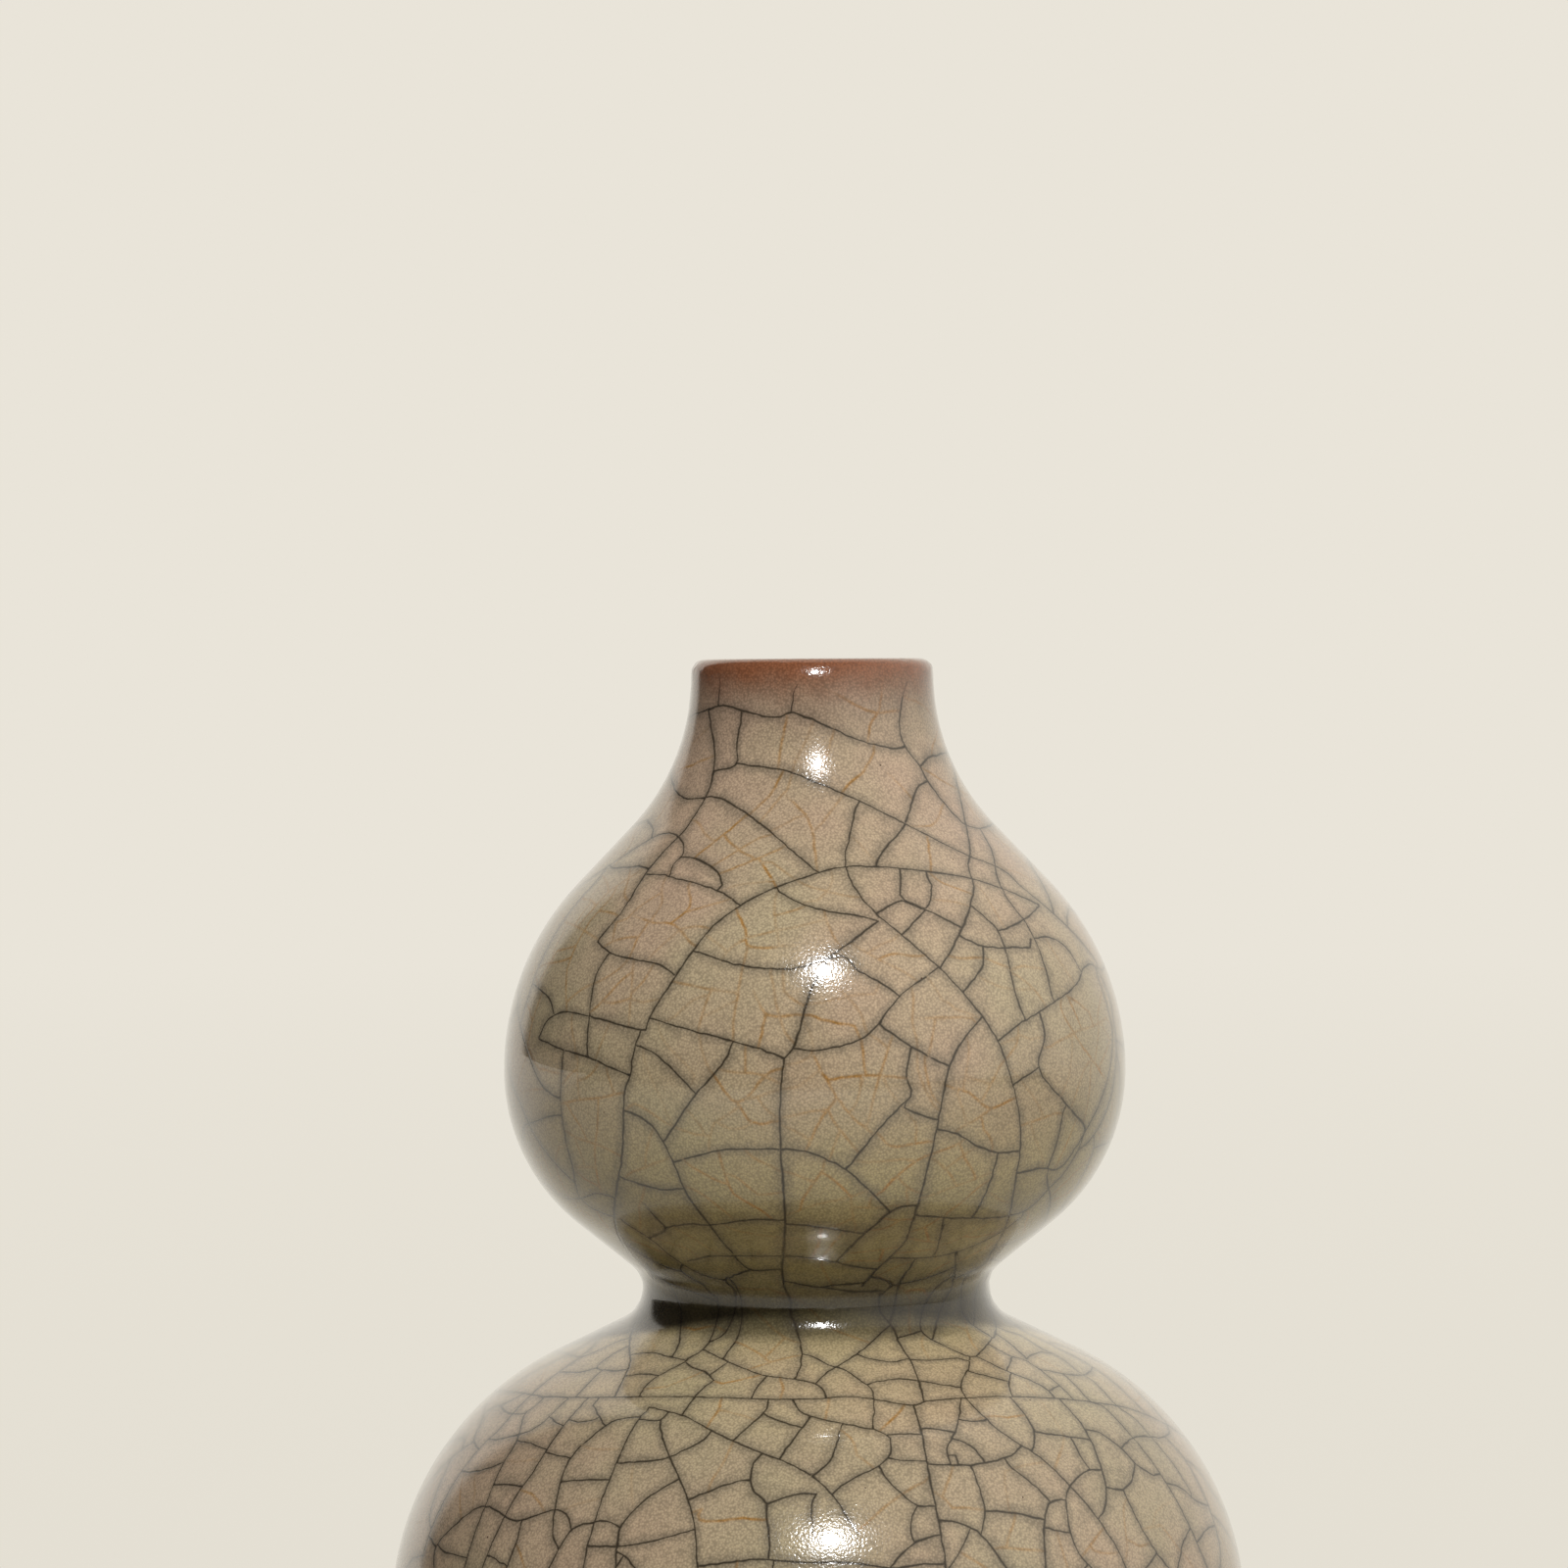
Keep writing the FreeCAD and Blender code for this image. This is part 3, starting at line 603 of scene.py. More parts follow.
goldThreads = [
    [703, 782, 727, 772],
    [803, 731, 795, 774, 794, 786],
    [851, 745, 839, 784, 836, 800],
    [892, 761, 892, 767, 879, 789, 864, 802, 858, 810],
    [799, 787, 787, 809, 767, 829],
    [901, 692, 897, 725, 889, 737, 885, 758],
    [839, 700, 889, 726, 916, 725],
    [924, 712, 943, 720],
    [802, 812, 822, 832, 829, 849, 834, 888],
    [812, 851, 799, 864, 735, 891],
    [774, 875, 789, 899],
    [737, 851, 752, 866, 769, 876],
    [759, 834, 710, 874],
    [906, 789, 926, 809, 932, 818],
    [946, 852, 950, 890],
    [929, 843, 950, 842, 963, 820],
    [752, 929, 761, 950, 763, 965, 811, 965],
    [763, 965, 752, 1018, 748, 1047, 748, 1062],
    [769, 1011, 782, 1035, 803, 1037, 820, 1035, 849, 1043, 872, 1047],
    [782, 1035, 774, 1068],
    [828, 1072, 841, 1098, 854, 1119, 870, 1140, 891, 1157],
    [879, 1060, 883, 1094],
    [845, 1102, 870, 1098, 900, 1098, 925, 1100],
    [854, 1119, 837, 1144, 822, 1174],
    [727, 1095, 752, 1125, 786, 1094, 800, 1090],
    [752, 1125, 769, 1146, 795, 1144],
    [936, 1039, 967, 1038, 992, 1039],
    [967, 1108, 988, 1115, 1011, 1131, 1030, 1123],
    [896, 1157, 908, 1169, 946, 1165],
    [1083, 1020, 1083, 1030, 1102, 1064, 1123, 1094],
    [1043, 1148, 1077, 1136],
    [647, 934, 668, 942, 685, 942, 706, 963],
    [702, 904, 704, 925, 685, 942],
    [796, 1406, 799, 1418, 796, 1428],
    [846, 1428, 843, 1446],
    [736, 1428, 732, 1440, 722, 1456],
    [764, 1397, 800, 1386, 817, 1383],
    [737, 1412, 776, 1403],
    [716, 1540, 712, 1549, 732, 1552, 756, 1549, 778, 1551],
]

# How the glaze cracked: the lines read off first, then more grown round the whole vase
crackRules = {
    "seed": 23, "candidates": 6500, "step": 1.3, "pull": 4.5, "bend": 0.014, "bendDrift": 0.008,
    "kinkChance": 0.03, "kink": 0.35, "crossChance": 0.12, "mostSteps": 420, "aim": 0.4,
    "strength": (0.62, 1.16), "patches": 0.22, "traced": 1.5,
    # widest clear distance left between cracks, by height above the foot
    "room": [(0, 5.6), (40, 5.2), (75, 4.9), (95, 4.7), (112, 4.3), (122, 3.9), (133, 4.3), (142, 6.2),
             (155, 7.3), (178, 7.0), (196, 8.4), (210, 11.0), (228, 13.0)],
    # a cell longer than this many times its room is split across
    "longest": 4.6, "longTries": 1500,
}
threadRules = {
    "seed": 5, "candidates": 12000, "step": 1.3, "pull": 2.6, "bend": 0.03, "bendDrift": 0.016,
    "kinkChance": 0.10, "kink": 0.45, "crossChance": 0.10, "mostSteps": 60, "aim": 0.5,
    "strength": (0.2, 0.85), "patches": 0.35, "traced": 1.05,
    "room": [(0, 3.4), (75, 3.3), (95, 3.3), (112, 2.9), (122, 2.8), (135, 2.6), (160, 2.5), (196, 2.7),
             (228, 3.6)],
    "longest": 0.0, "longTries": 0,
}
# what every line has in common as it grows: its shortest steps where the vase is narrow, how its bend
# dies away, how it turns to a line ahead, and how its stain comes and goes and fades at an open end
growth = {
    "shortStep": 0.05, "bendBack": 0.12, "turnWithin": 1.25, "turnShare": 0.22, "onwardWave": 0.12,
    "wave": 0.15, "ripple": (0.15, 0.4), "fadeSteps": 4.0, "fadeLeast": 0.15, "spanStep": (2.0, 0.08),
    "spanTurns": 6, "spanLimit": 4, "spanNarrow": 0.6, "spanClear": 1.5, "spanAim": 0.2,
    # and the long waves round the vase that make its cells wider in some patches than in others
    "phase": (0, 6.28), "patchWaves": 6, "patchAround": (1, 6), "patchUp": (-5, 5), "patchShare": 3,
}
handRules = {
    "curveSteps": 13, "resample": 1.1, "wobble": 0.06, "snap": 2.4, "touching": 0.02, "trimSteps": 3,
    "growBelow": 0.5,
    "frameFoot": 1586, "cellTop": 82.0, "facingLimit": 0.35, "waistFrom": 110.0, "waistTo": 136.0,
    "undersideTo": 139.0, "stain": (0.82, 1.14), "crackStain": 1.0, "threadStain": 0.9,
    "crackWave": 0.1, "threadWave": 0.2,
}
bucketCount = 64
bucketSize = 2 * math.pi / bucketCount
network = {"lines": [], "buckets": {}}
crackLimits = (climbOf["glazeEdge"], climbAt(gourdShape["throatHeight"]))


def wrapped(angle):
    return (angle + math.pi) % (2 * math.pi) - math.pi


def bucketAt(bearing, climb):
    return int((bearing + math.pi) // bucketSize) % bucketCount, int(climb // bucketSize)


def addLine(net, points, strengths, kind):
    index = len(net["lines"])
    net["lines"].append({"points": points, "strengths": strengths, "kind": kind})
    for (fromBearing, fromClimb), (toBearing, toClimb) in zip(points, points[1:]):
        key = bucketAt((fromBearing + toBearing) / 2, (fromClimb + toClimb) / 2)
        net["buckets"].setdefault(key, []).append((fromBearing, fromClimb, toBearing, toClimb, index))


def segmentsNear(net, bearing, climb, skip):
    # segments round a place, turned to the same lap round the vase
    column, row = bucketAt(bearing, climb)
    for across in (-1, 0, 1):
        for along in (-1, 0, 1):
            key = ((column + across) % bucketCount, row + along)
            for a0, a1, b0, b1, index in net["buckets"].get(key, ()):
                if index != skip:
                    lap = 2 * math.pi * round((bearing - a0) / (2 * math.pi))
                    yield a0 + lap, a1, b0 + lap, b1


def nearestLine(net, bearing, climb, radius, skip=None):
    best = None
    for a0, a1, b0, b1 in segmentsNear(net, bearing, climb, skip):
        runX, runY = b0 - a0, b1 - a1
        fromX, fromY = a0 - bearing, a1 - climb
        share = -(fromX * runX + fromY * runY) / (runX * runX + runY * runY + 1e-18)
        share = min(1.0, max(0.0, share))
        x, y = fromX + share * runX, fromY + share * runY
        if best is None or x * x + y * y < best[0]:
            best = (x * x + y * y, x, y)
    if best is None:
        return None
    return math.sqrt(best[0]) * radius, math.atan2(best[2], best[1]), (bearing + best[1], climb + best[2])


def firstCrossing(net, start, end, skip=None):
    best = None
    stepX, stepY = end[0] - start[0], end[1] - start[1]
    for a0, a1, b0, b1 in segmentsNear(net, start[0], start[1], skip):
        runX, runY = b0 - a0, b1 - a1
        cross = stepX * runY - stepY * runX
        if abs(cross) < 1e-14:
            continue
        gapX, gapY = a0 - start[0], a1 - start[1]
        along = (gapX * runY - gapY * runX) / cross
        across = (gapX * stepY - gapY * stepX) / cross
        if 1e-3 < along <= 1 and -1e-6 <= across <= 1 + 1e-6 and (best is None or along < best[0]):
            best = (along, (start[0] + along * stepX, start[1] + along * stepY))
    return best[1] if best else None


def walkCrack(net, start, heading, rules, draws):
    # a crack runs on with a slowly changing bend, turns square to a line close ahead and ends on it
    bearing, climb = start
    points = []
    bend = draws.normal(0, rules["bend"])
    crossings = 1 if draws.random() < rules["crossChance"] else 0
    for _ in range(rules["mostSteps"]):
        radius = radiusAt(climb)
        slope = slopeAt(climb)
        step = min(rules["step"], growth["shortStep"] * radius)
        bend += step * (draws.normal(0, rules["bendDrift"]) - growth["bendBack"] * bend)
        heading += bend * step - math.sin(slope) * math.cos(heading) * step / radius
        if draws.random() < rules["kinkChance"]:
            heading += draws.normal(0, rules["kink"])
        near = nearestLine(net, bearing, climb, radius)
        if near and near[0] < rules["pull"]:
            turn = wrapped(near[1] - heading)
            if abs(turn) < growth["turnWithin"]:
                heading += growth["turnShare"] * turn
        ahead = (bearing + step * math.cos(heading) / radius, climb + step * math.sin(heading) / radius)
        hit = firstCrossing(net, (bearing, climb), ahead)
        if hit and not crossings:
            return points + [hit], "line"
        if hit:
            crossings -= 1
        for limit in crackLimits:
            if (ahead[1] - limit) * (climb - limit) <= 0 and ahead[1] != climb:
                share = (limit - climb) / (ahead[1] - climb)
                return points + [(bearing + share * (ahead[0] - bearing), limit)], "edge"
        points.append(ahead)
        bearing, climb = ahead
    return points, "open"


def strengthsAlong(count, base, draws, wave, openStart=False, openEnd=False):
    # a crack's stain comes and goes a little, and fades out at an end that meets nothing
    along = np.arange(count)
    ripple, phase = draws.uniform(*growth["ripple"]), draws.uniform(*growth["phase"])
    values = base * (1 + wave * np.sin(along * ripple + phase))
    for fades, steps in ((openStart, along), (openEnd, count - 1 - along)):
        if fades:
            values *= np.clip(steps / growth["fadeSteps"], growth["fadeLeast"], 1)
    return values.tolist()


def smoothRun(found, draws, rules):
    # smooth curve through the places read off, with points at even steps and a slight wobble
    knots = np.array([place[:2] for place in found])
    laps = np.maximum(np.hypot(*np.diff(knots, axis=0).T), 1e-6) ** 0.5
    slopes = np.diff(knots, axis=0) / laps[:, None]
    tangents = np.empty_like(knots)
    tangents[0], tangents[-1] = slopes[0], slopes[-1]
    if len(knots) > 2:
        weight = (laps[:-1] / (laps[:-1] + laps[1:]))[:, None]
        tangents[1:-1] = slopes[:-1] * (1 - weight) + slopes[1:] * weight
    curve = [knots[0]]
    for i in range(len(knots) - 1):
        for share in np.linspace(0, 1, rules["curveSteps"])[1:]:
            lead, trail = share * share * (3 - 2 * share), share * (1 - share)
            curve.append(knots[i] * (1 - lead) + knots[i + 1] * lead
                         + laps[i] * trail * (tangents[i] * (1 - share) - tangents[i + 1] * share))
    curve = np.array(curve)
    radius = radiusAt(curve[:, 1])
    steps = np.hypot(*np.diff(curve, axis=0).T) * (radius[1:] + radius[:-1]) / 2
    length = np.concatenate(([0], np.cumsum(steps)))
    count = max(3, int(length[-1] / rules["resample"]) + 2)
    even = np.linspace(0, length[-1], count)
    bearing, climb = np.interp(even, length, curve[:, 0]), np.interp(even, length, curve[:, 1])
    local = radiusAt(climb)
    bearing[1:-1] += draws.normal(0, rules["wobble"], count - 2) / local[1:-1]
    climb[1:-1] += draws.normal(0, rules["wobble"], count - 2) / local[1:-1]
    return list(zip(bearing.tolist(), np.clip(climb, *crackLimits).tolist()))


def settleEnd(net, points, own, rules):
    # the run's last end: cut where it has just crossed a line, or carried on to a line close by
    for back in range(min(rules["trimSteps"], len(points) - 2), 0, -1):
        hit = firstCrossing(net, points[-back - 1], points[-back], own)
        if hit:
            return points[:-back] + [hit], True
    radius = radiusAt(points[-1][1])
    near = nearestLine(net, *points[-1], radius, own)
    if near and near[0] < rules["snap"]:
        return points + [near[2]] if near[0] > rules["touching"] else points, True
    return points, False


def headingOf(points):
    (fromBearing, fromClimb), (toBearing, toClimb) = points[-2:]
    return math.atan2(toClimb - fromClimb, toBearing - fromBearing)


def layHandLines(net, runs, kind, rules, draws):
    # the lines read off, with their ends settled; ends at the vase's edge in the frame run on round it
    raw = []
    for run in runs:
        pixels = list(zip(run[::2], run[1::2]))
        found = photoToGlaze(pixels, photoCamera)
        raw.append((smoothRun(found, draws, rules), found, pixels))
    draft = {"lines": [], "buckets": {}}
    for line in net["lines"]:
        addLine(draft, line["points"], line["strengths"], line["kind"])
    first = len(draft["lines"])
    for points, found, pixels in raw:
        addLine(draft, points, [1.0] * len(points), kind)
    onward = []
    for i, (points, found, pixels) in enumerate(raw):
        ends = []
        for end in (-1, 0):
            points, met = settleEnd(draft, points, first + i, rules)
            outward = (found[end][2] < rules["growBelow"] or pixels[end][1] > rules["frameFoot"]
                       or rules["waistFrom"] < heightAt(points[-1][1]) < rules["waistTo"])
            if not met and outward:
                onward.append((points[-1], headingOf(points)))
            ends.append(met or outward)
            points = points[::-1]
        stain = rules[kind + "Stain"] * draws.uniform(*rules["stain"])
        opens = (not ends[1], not ends[0])
        addLine(net, points, strengthsAlong(len(points), stain, draws, rules[kind + "Wave"], *opens), kind)
    return onward


def patchiness(bearing, climb, draws):
    # a few long waves round the vase, about -1 to 1
    total = 0
    for _ in range(growth["patchWaves"]):
        around, up = draws.integers(*growth["patchAround"]), draws.uniform(*growth["patchUp"])
        total = total + np.cos(around * bearing + up * climb + draws.uniform(*growth["phase"]))
    return total / growth["patchShare"]


def clearSpan(net, start, heading, limit):
    # clear length across a cell through one place, in mm
    total = 0
    for turn in (heading, heading + math.pi):
        bearing, climb = start
        gone = 0
        while gone < limit:
            radius = radiusAt(climb)
            step = min(growth["spanStep"][0], growth["spanStep"][1] * radius)
            ahead = (bearing + step * math.cos(turn) / radius, climb + step * math.sin(turn) / radius)
            within = crackLimits[0] < ahead[1] < crackLimits[1]
            if firstCrossing(net, (bearing, climb), ahead) or not within:
                break
            bearing, climb = ahead
            gone += step
        total += gone
    return total


def growLines(net, kind, rules, onward):
    draws = np.random.default_rng(rules["seed"])
    for place, heading in onward:
        points, ended = walkCrack(net, place, heading, rules, draws)
        points = [place] + points
        if len(points) > 1:
            base = draws.uniform(*rules["strength"])
            opens = ended == "open"
            values = strengthsAlong(len(points), base, draws, growth["onwardWave"], False, opens)
            addLine(net, points, values, kind)
    area = np.concatenate(([0], np.cumsum(outlineSteps * (outline[1:, 0] + outline[:-1, 0]) / 2)))
    climb = np.interp(draws.random(rules["candidates"]) * area[-1], area, outlineClimb)
    bearing = draws.uniform(-math.pi, math.pi, rules["candidates"])
    kept = (climb > crackLimits[0]) & (climb < crackLimits[1])
    climb, bearing = climb[kept], bearing[kept]
    places, normals = onGlaze(bearing, climb)
    heights, room = zip(*rules["room"])
    patchy = 1 + rules["patches"] * patchiness(bearing, climb, draws)
    target = np.interp(places[:, 2], heights, room) * patchy
    sight = np.array(camera.location) / mm - places
    facing = np.sum(sight * normals, axis=1) / np.linalg.norm(sight, axis=1)
    traced = (facing > handRules["facingLimit"]) & (places[:, 2] > handRules["cellTop"])
    traced &= (places[:, 2] < gourdShape["waistHeight"]) | (places[:, 2] > handRules["undersideTo"])
    target[traced] *= rules["traced"]
    laid = np.concatenate([np.array(line["points"]) for line in net["lines"]])
    tree = kdtree.KDTree(len(laid))
    for i, place in enumerate(onGlaze(laid[:, 0], laid[:, 1])[0]):
        tree.insert(place, i)
    tree.balance()
    clear = np.array([tree.find(place)[2] for place in places])
    first = len(net["lines"])

    def growThrough(start, heading):
        # a line both ways from one place; returns what is left clear
        ahead, aheadEnd = walkCrack(net, start, heading, rules, draws)
        behind, behindEnd = walkCrack(net, start, heading + math.pi, rules, draws)
        points = behind[::-1] + [start] + ahead
        base = draws.uniform(*rules["strength"])
        opens = (behindEnd == "open", aheadEnd == "open")
        addLine(net, points, strengthsAlong(len(points), base, draws, growth["wave"], *opens), kind)
        left = clear
        for place in onGlaze(*np.array(points).T)[0]:
            left = np.minimum(left, np.linalg.norm(places - place, axis=1))
        return left

    while True:
        pick = int(np.argmax(clear / target))
        if clear[pick] < target[pick]:
            break
        start = (float(bearing[pick]), float(climb[pick]))
        near = nearestLine(net, *start, radiusAt(start[1]))
        heading = near[1] if near else draws.uniform(*growth["phase"])
        heading += draws.normal(0, rules["aim"])
        clear = growThrough(start, heading)
    for pick in range(min(rules["longTries"], len(places))):
        # a long narrow cell is split across where it is narrowest
        start = (float(bearing[pick]), float(climb[pick]))
        if traced[pick] or clear[pick] < growth["spanClear"]:
            continue
        turns = [math.pi * i / growth["spanTurns"] for i in range(growth["spanTurns"])]
        spans = [clearSpan(net, start, turn, growth["spanLimit"] * target[pick]) for turn in turns]
        longest = max(spans)
        if longest < rules["longest"] * target[pick] or min(spans) > growth["spanNarrow"] * longest:
            continue
        heading = turns[spans.index(longest)] + math.pi / 2 + draws.normal(0, growth["spanAim"])
        clear = growThrough(start, heading)
    return len(net["lines"]) - first


handDraws = np.random.default_rng(crackRules["seed"])
handCracks = neckCracks + upperBellyCracks + lowerBellyCracks
onward = layHandLines(network, handCracks, "crack", handRules, handDraws)
print("hand-read cracks", len(network["lines"]), "of which run on", len(onward))
print("grown cracks", growLines(network, "crack", crackRules, onward))
onward = layHandLines(network, goldThreads, "thread", handRules, handDraws)
print("grown threads", growLines(network, "thread", threadRules, onward))
# cracks and threads drawn 1.3 times stronger under the upper bulb, from 120 to 138 mm above the foot
crackWeightByHeight = [(112, 1.0), (120, 1.3), (138, 1.3), (148, 1.0)]
for kind in ("crack", "thread"):
    total = 0
    for line in network["lines"]:
        if line["kind"] == kind:
            places = onGlaze(*np.array(line["points"]).T)[0]
            total += float(np.sum(np.linalg.norm(np.diff(places, axis=0), axis=1)))
            line["strengths"] = line["strengths"] * np.interp(places[:, 2], *np.transpose(crackWeightByHeight))
    print(kind, "length", round(total / 1000, 2), "m")

# The glaze as a closed skin: an outer face whose triangles follow every crack, and a plain inner face
glazeSkin = {
    # mm either side of a line where its row of points runs, and where no loose point stands
    "crackRow": 1.6, "threadRow": 0.9, "crackClear": 1.15, "threadClear": 0.65,
    # widest spacing of the loose points, and how it follows the outline's bend
    "fill": 3.1, "fillCurve": 0.48, "bendSpan": 0.01, "rowShare": 0.866, "lastRow": 0.4, "leastGap": 1.6,
    "leastCount": 24, "looseApart": 0.55, "fineApart": 0.25, "fineLength": 0.35, "fineError": 0.14,
    "finePasses": 3, "sampleStep": 0.4, "touching": 0.004, "farAway": 6.0,
    # the seam at the back and the rings at both ends
    "seamStep": 2.4, "seamShare": 0.45, "seamApart": 0.012, "seamEnd": 0.01, "edgeStep": 2.0,
    "besideSeam": 0.5, "besideEdge": 0.35, "epsilon": 2e-6,
    # the rolled lower edge and the inner face
    "rollSteps": 5, "rollIn": 0.55, "innerColumns": 120, "innerStep": 4.0, "innerShare": 1.6,
}


def lineField(net, kind):
    # samples along every line of one kind, with the piece of line and the stain under each
    starts, ends, stains, samples, owner = [], [], [], [], []
    for line in net["lines"]:
        if line["kind"] != kind:
            continue
        track = np.array(line["points"])
        places = onGlaze(track[:, 0], track[:, 1])[0]
        for i in range(len(places) - 1):
            run = places[i + 1] - places[i]
            pieces = max(1, math.ceil(float(np.linalg.norm(run)) / glazeSkin["sampleStep"]))
            for j in range(pieces + 1):
                samples.append(places[i] + run * j / pieces)
                owner.append(len(starts))
            starts.append(places[i])
            ends.append(places[i + 1])
            stains.append((line["strengths"][i] + line["strengths"][i + 1]) / 2)
    tree = kdtree.KDTree(len(samples))
    for i, place in enumerate(samples):
        tree.insert(place, i)
    tree.balance()
    return {"tree": tree, "starts": np.array(starts), "ends": np.array(ends), "stains": np.array(stains),
            "owner": np.array(owner)}


def fieldAt(field, places):
    # distance to the nearest line in mm and that line's stain, for each place
    picks = field["owner"][[field["tree"].find(place)[1] for place in places]]
    starts, runs = field["starts"][picks], field["ends"][picks] - field["starts"][picks]
    share = np.sum((places - starts) * runs, axis=1) / np.maximum(np.sum(runs * runs, axis=1), 1e-12)
    nearest = starts + np.clip(share, 0, 1)[:, None] * runs
    distance = np.linalg.norm(places - nearest, axis=1)
    distance[distance < glazeSkin["touching"]] = 0
    return np.minimum(distance, glazeSkin["farAway"]), field["stains"][picks]


def seamPieces(points):
    # a line cut where it passes the back of the vase, each piece within one lap
    pieces, current = [], []
    for i, (bearing, climb) in enumerate(points):
        lap = math.floor((bearing + math.pi) / (2 * math.pi))
        if current and lap != lastLap:
            edge = (2 * max(lap, lastLap) - 1) * math.pi
            before = points[i - 1]
            share = (edge - before[0]) / (bearing - before[0])
            height = before[1] + share * (climb - before[1])
            current.append((math.pi if lap > lastLap else -math.pi, height))
            pieces.append(current)
            current = [(-math.pi if lap > lastLap else math.pi, height)]
        current.append((bearing - 2 * math.pi * lap, climb))
        lastLap = lap
    pieces.append(current)
    return pieces


def glazePoints(net, skin, cracks, threads):
    # fixed lines with their points, and the loose points between them
    low, high = climbOf["glazeEdge"], climbOf["lipEnd"]
    fixed, edges, loose = [], [], []

    def run(points):
        first = len(fixed)
        fixed.extend(points)
        edges.extend((first + i, first + i + 1) for i in range(len(points) - 1))

    seamHeights = []
    for line in net["lines"]:
        for piece in seamPieces(line["points"]):
            run(piece)
            seamHeights += [place[1] for place in piece if abs(abs(place[0]) - math.pi) < 1e-9]
        track = np.array(line["points"])
        ahead = np.gradient(track, axis=0)
        side = np.stack([-ahead[:, 1], ahead[:, 0]], axis=1) / np.maximum(np.hypot(*ahead.T), 1e-9)[:, None]
        radius = radiusAt(track[:, 1])[:, None]
        row = skin["crackRow"] if line["kind"] == "crack" else skin["threadRow"]
        loose += (track + side * row / radius).tolist() + (track - side * row / radius).tolist()
    # regular columns at the seam and rings at both ends
    climb, seam = low, {low, high, *seamHeights}
    while climb < high:
        if high - climb > skin["seamEnd"] and all(abs(climb - c) > skin["seamApart"] for c in seamHeights):
            seam.add(climb)
        climb += min(skin["seamStep"], skin["seamShare"] * gapFor(climb, skin)) / radiusAt(climb)
    for edge in (-math.pi, math.pi):
        run([(edge, climb) for climb in sorted(seam)])
    for climb in (low, high):
        count = int(2 * math.pi * radiusAt(climb) / skin["edgeStep"])
        run([(-math.pi + 2 * math.pi * i / count, climb) for i in range(count + 1)])
    # rows of loose points, closer where the outline bends tightly
    climb, odd = low, 0
    while True:
        radius = radiusAt(climb)
        gap = gapFor(climb, skin)
        climb += skin["rowShare"] * gap / radius
        if climb > high - skin["lastRow"] * gap / radius:
            break
        count = max(skin["leastCount"], int(2 * math.pi * radius / max(gap, skin["leastGap"])))
        loose += [(-math.pi + 2 * math.pi * (i + 0.5 * odd) / count, climb) for i in range(count)]
        odd = 1 - odd
    loose = np.array(loose)
    loose[:, 0] = wrapped(loose[:, 0])
    radius = radiusAt(loose[:, 1])
    roomy = (math.pi - np.abs(loose[:, 0])) * radius > skin["besideSeam"]
    beside = skin["besideEdge"] / radius
    loose = loose[roomy & (loose[:, 1] > low + beside) & (loose[:, 1] < high - beside)]
    places = onGlaze(loose[:, 0], loose[:, 1])[0]
    crackGap, threadGap = fieldAt(cracks, places)[0], fieldAt(threads, places)[0]
    loose = loose[(crackGap > skin["crackClear"]) & (threadGap > skin["threadClear"])]
    return fixed, edges, thinned(loose, skin["looseApart"])


def gapFor(climb, skin):
    # spacing of loose points that keeps the outline true where it bends
    span = [climb - skin["bendSpan"], climb + skin["bendSpan"]]
    near, run = slopeAt(span), np.interp(span, outlineClimb, outlineLength)
    bend = abs(near[1] - near[0]) / max(run[1] - run[0], 1e-6)
    return min(skin["fill"], skin["fillCurve"] / math.sqrt(max(bend, 1e-6)))


def thinned(points, gap):
    # drops points closer together than the gap in mm, first come first kept
    radius = radiusAt(points[:, 1])
    kept, taken = [], set()
    for (bearing, climb), local in zip(points.tolist(), radius.tolist()):
        key = (int(bearing * local / gap), int(climb * local / gap))
        if key in taken:
            continue
        taken.add(key)
        kept.append((bearing, climb))
    return kept


def triangulate(fixed, edges, loose):
    flat = [Vector(place) for place in fixed] + [Vector(place) for place in loose]
    result = delaunay_2d_cdt(flat, edges, [], 0, glazeSkin["epsilon"])
    return np.array([tuple(place) for place in result[0]]), np.array(result[2])


def edgesOf(faces):
    return np.sort(np.concatenate([faces[:, [0, 1]], faces[:, [1, 2]], faces[:, [2, 0]]]), axis=1)


def refinePoints(track, faces, cracks, threads, skin):
    # middles of edges along which a line's distance would be drawn wrongly
    ends = np.unique(edgesOf(faces), axis=0)
    places = onGlaze(track[:, 0], track[:, 1])[0]
    more = []
    for field, reach in ((cracks, skin["crackRow"]), (threads, skin["threadRow"])):
        distance = fieldAt(field, places)[0]
        pairs = ends[np.minimum(distance[ends[:, 0]], distance[ends[:, 1]]) < reach]
        middle = (track[pairs[:, 0]] + track[pairs[:, 1]]) / 2
        true = fieldAt(field, onGlaze(middle[:, 0], middle[:, 1])[0])[0]
        drawn = (distance[pairs[:, 0]] + distance[pairs[:, 1]]) / 2
        long = np.linalg.norm(places[pairs[:, 0]] - places[pairs[:, 1]], axis=1) > skin["fineLength"]
        wrong = (np.abs(np.minimum(true, reach) - np.minimum(drawn, reach)) > skin["fineError"]) & long
        wrong &= np.abs(np.abs(middle[:, 0]) - math.pi) > 1e-6
        more.append(middle[wrong])
    return np.concatenate(more)


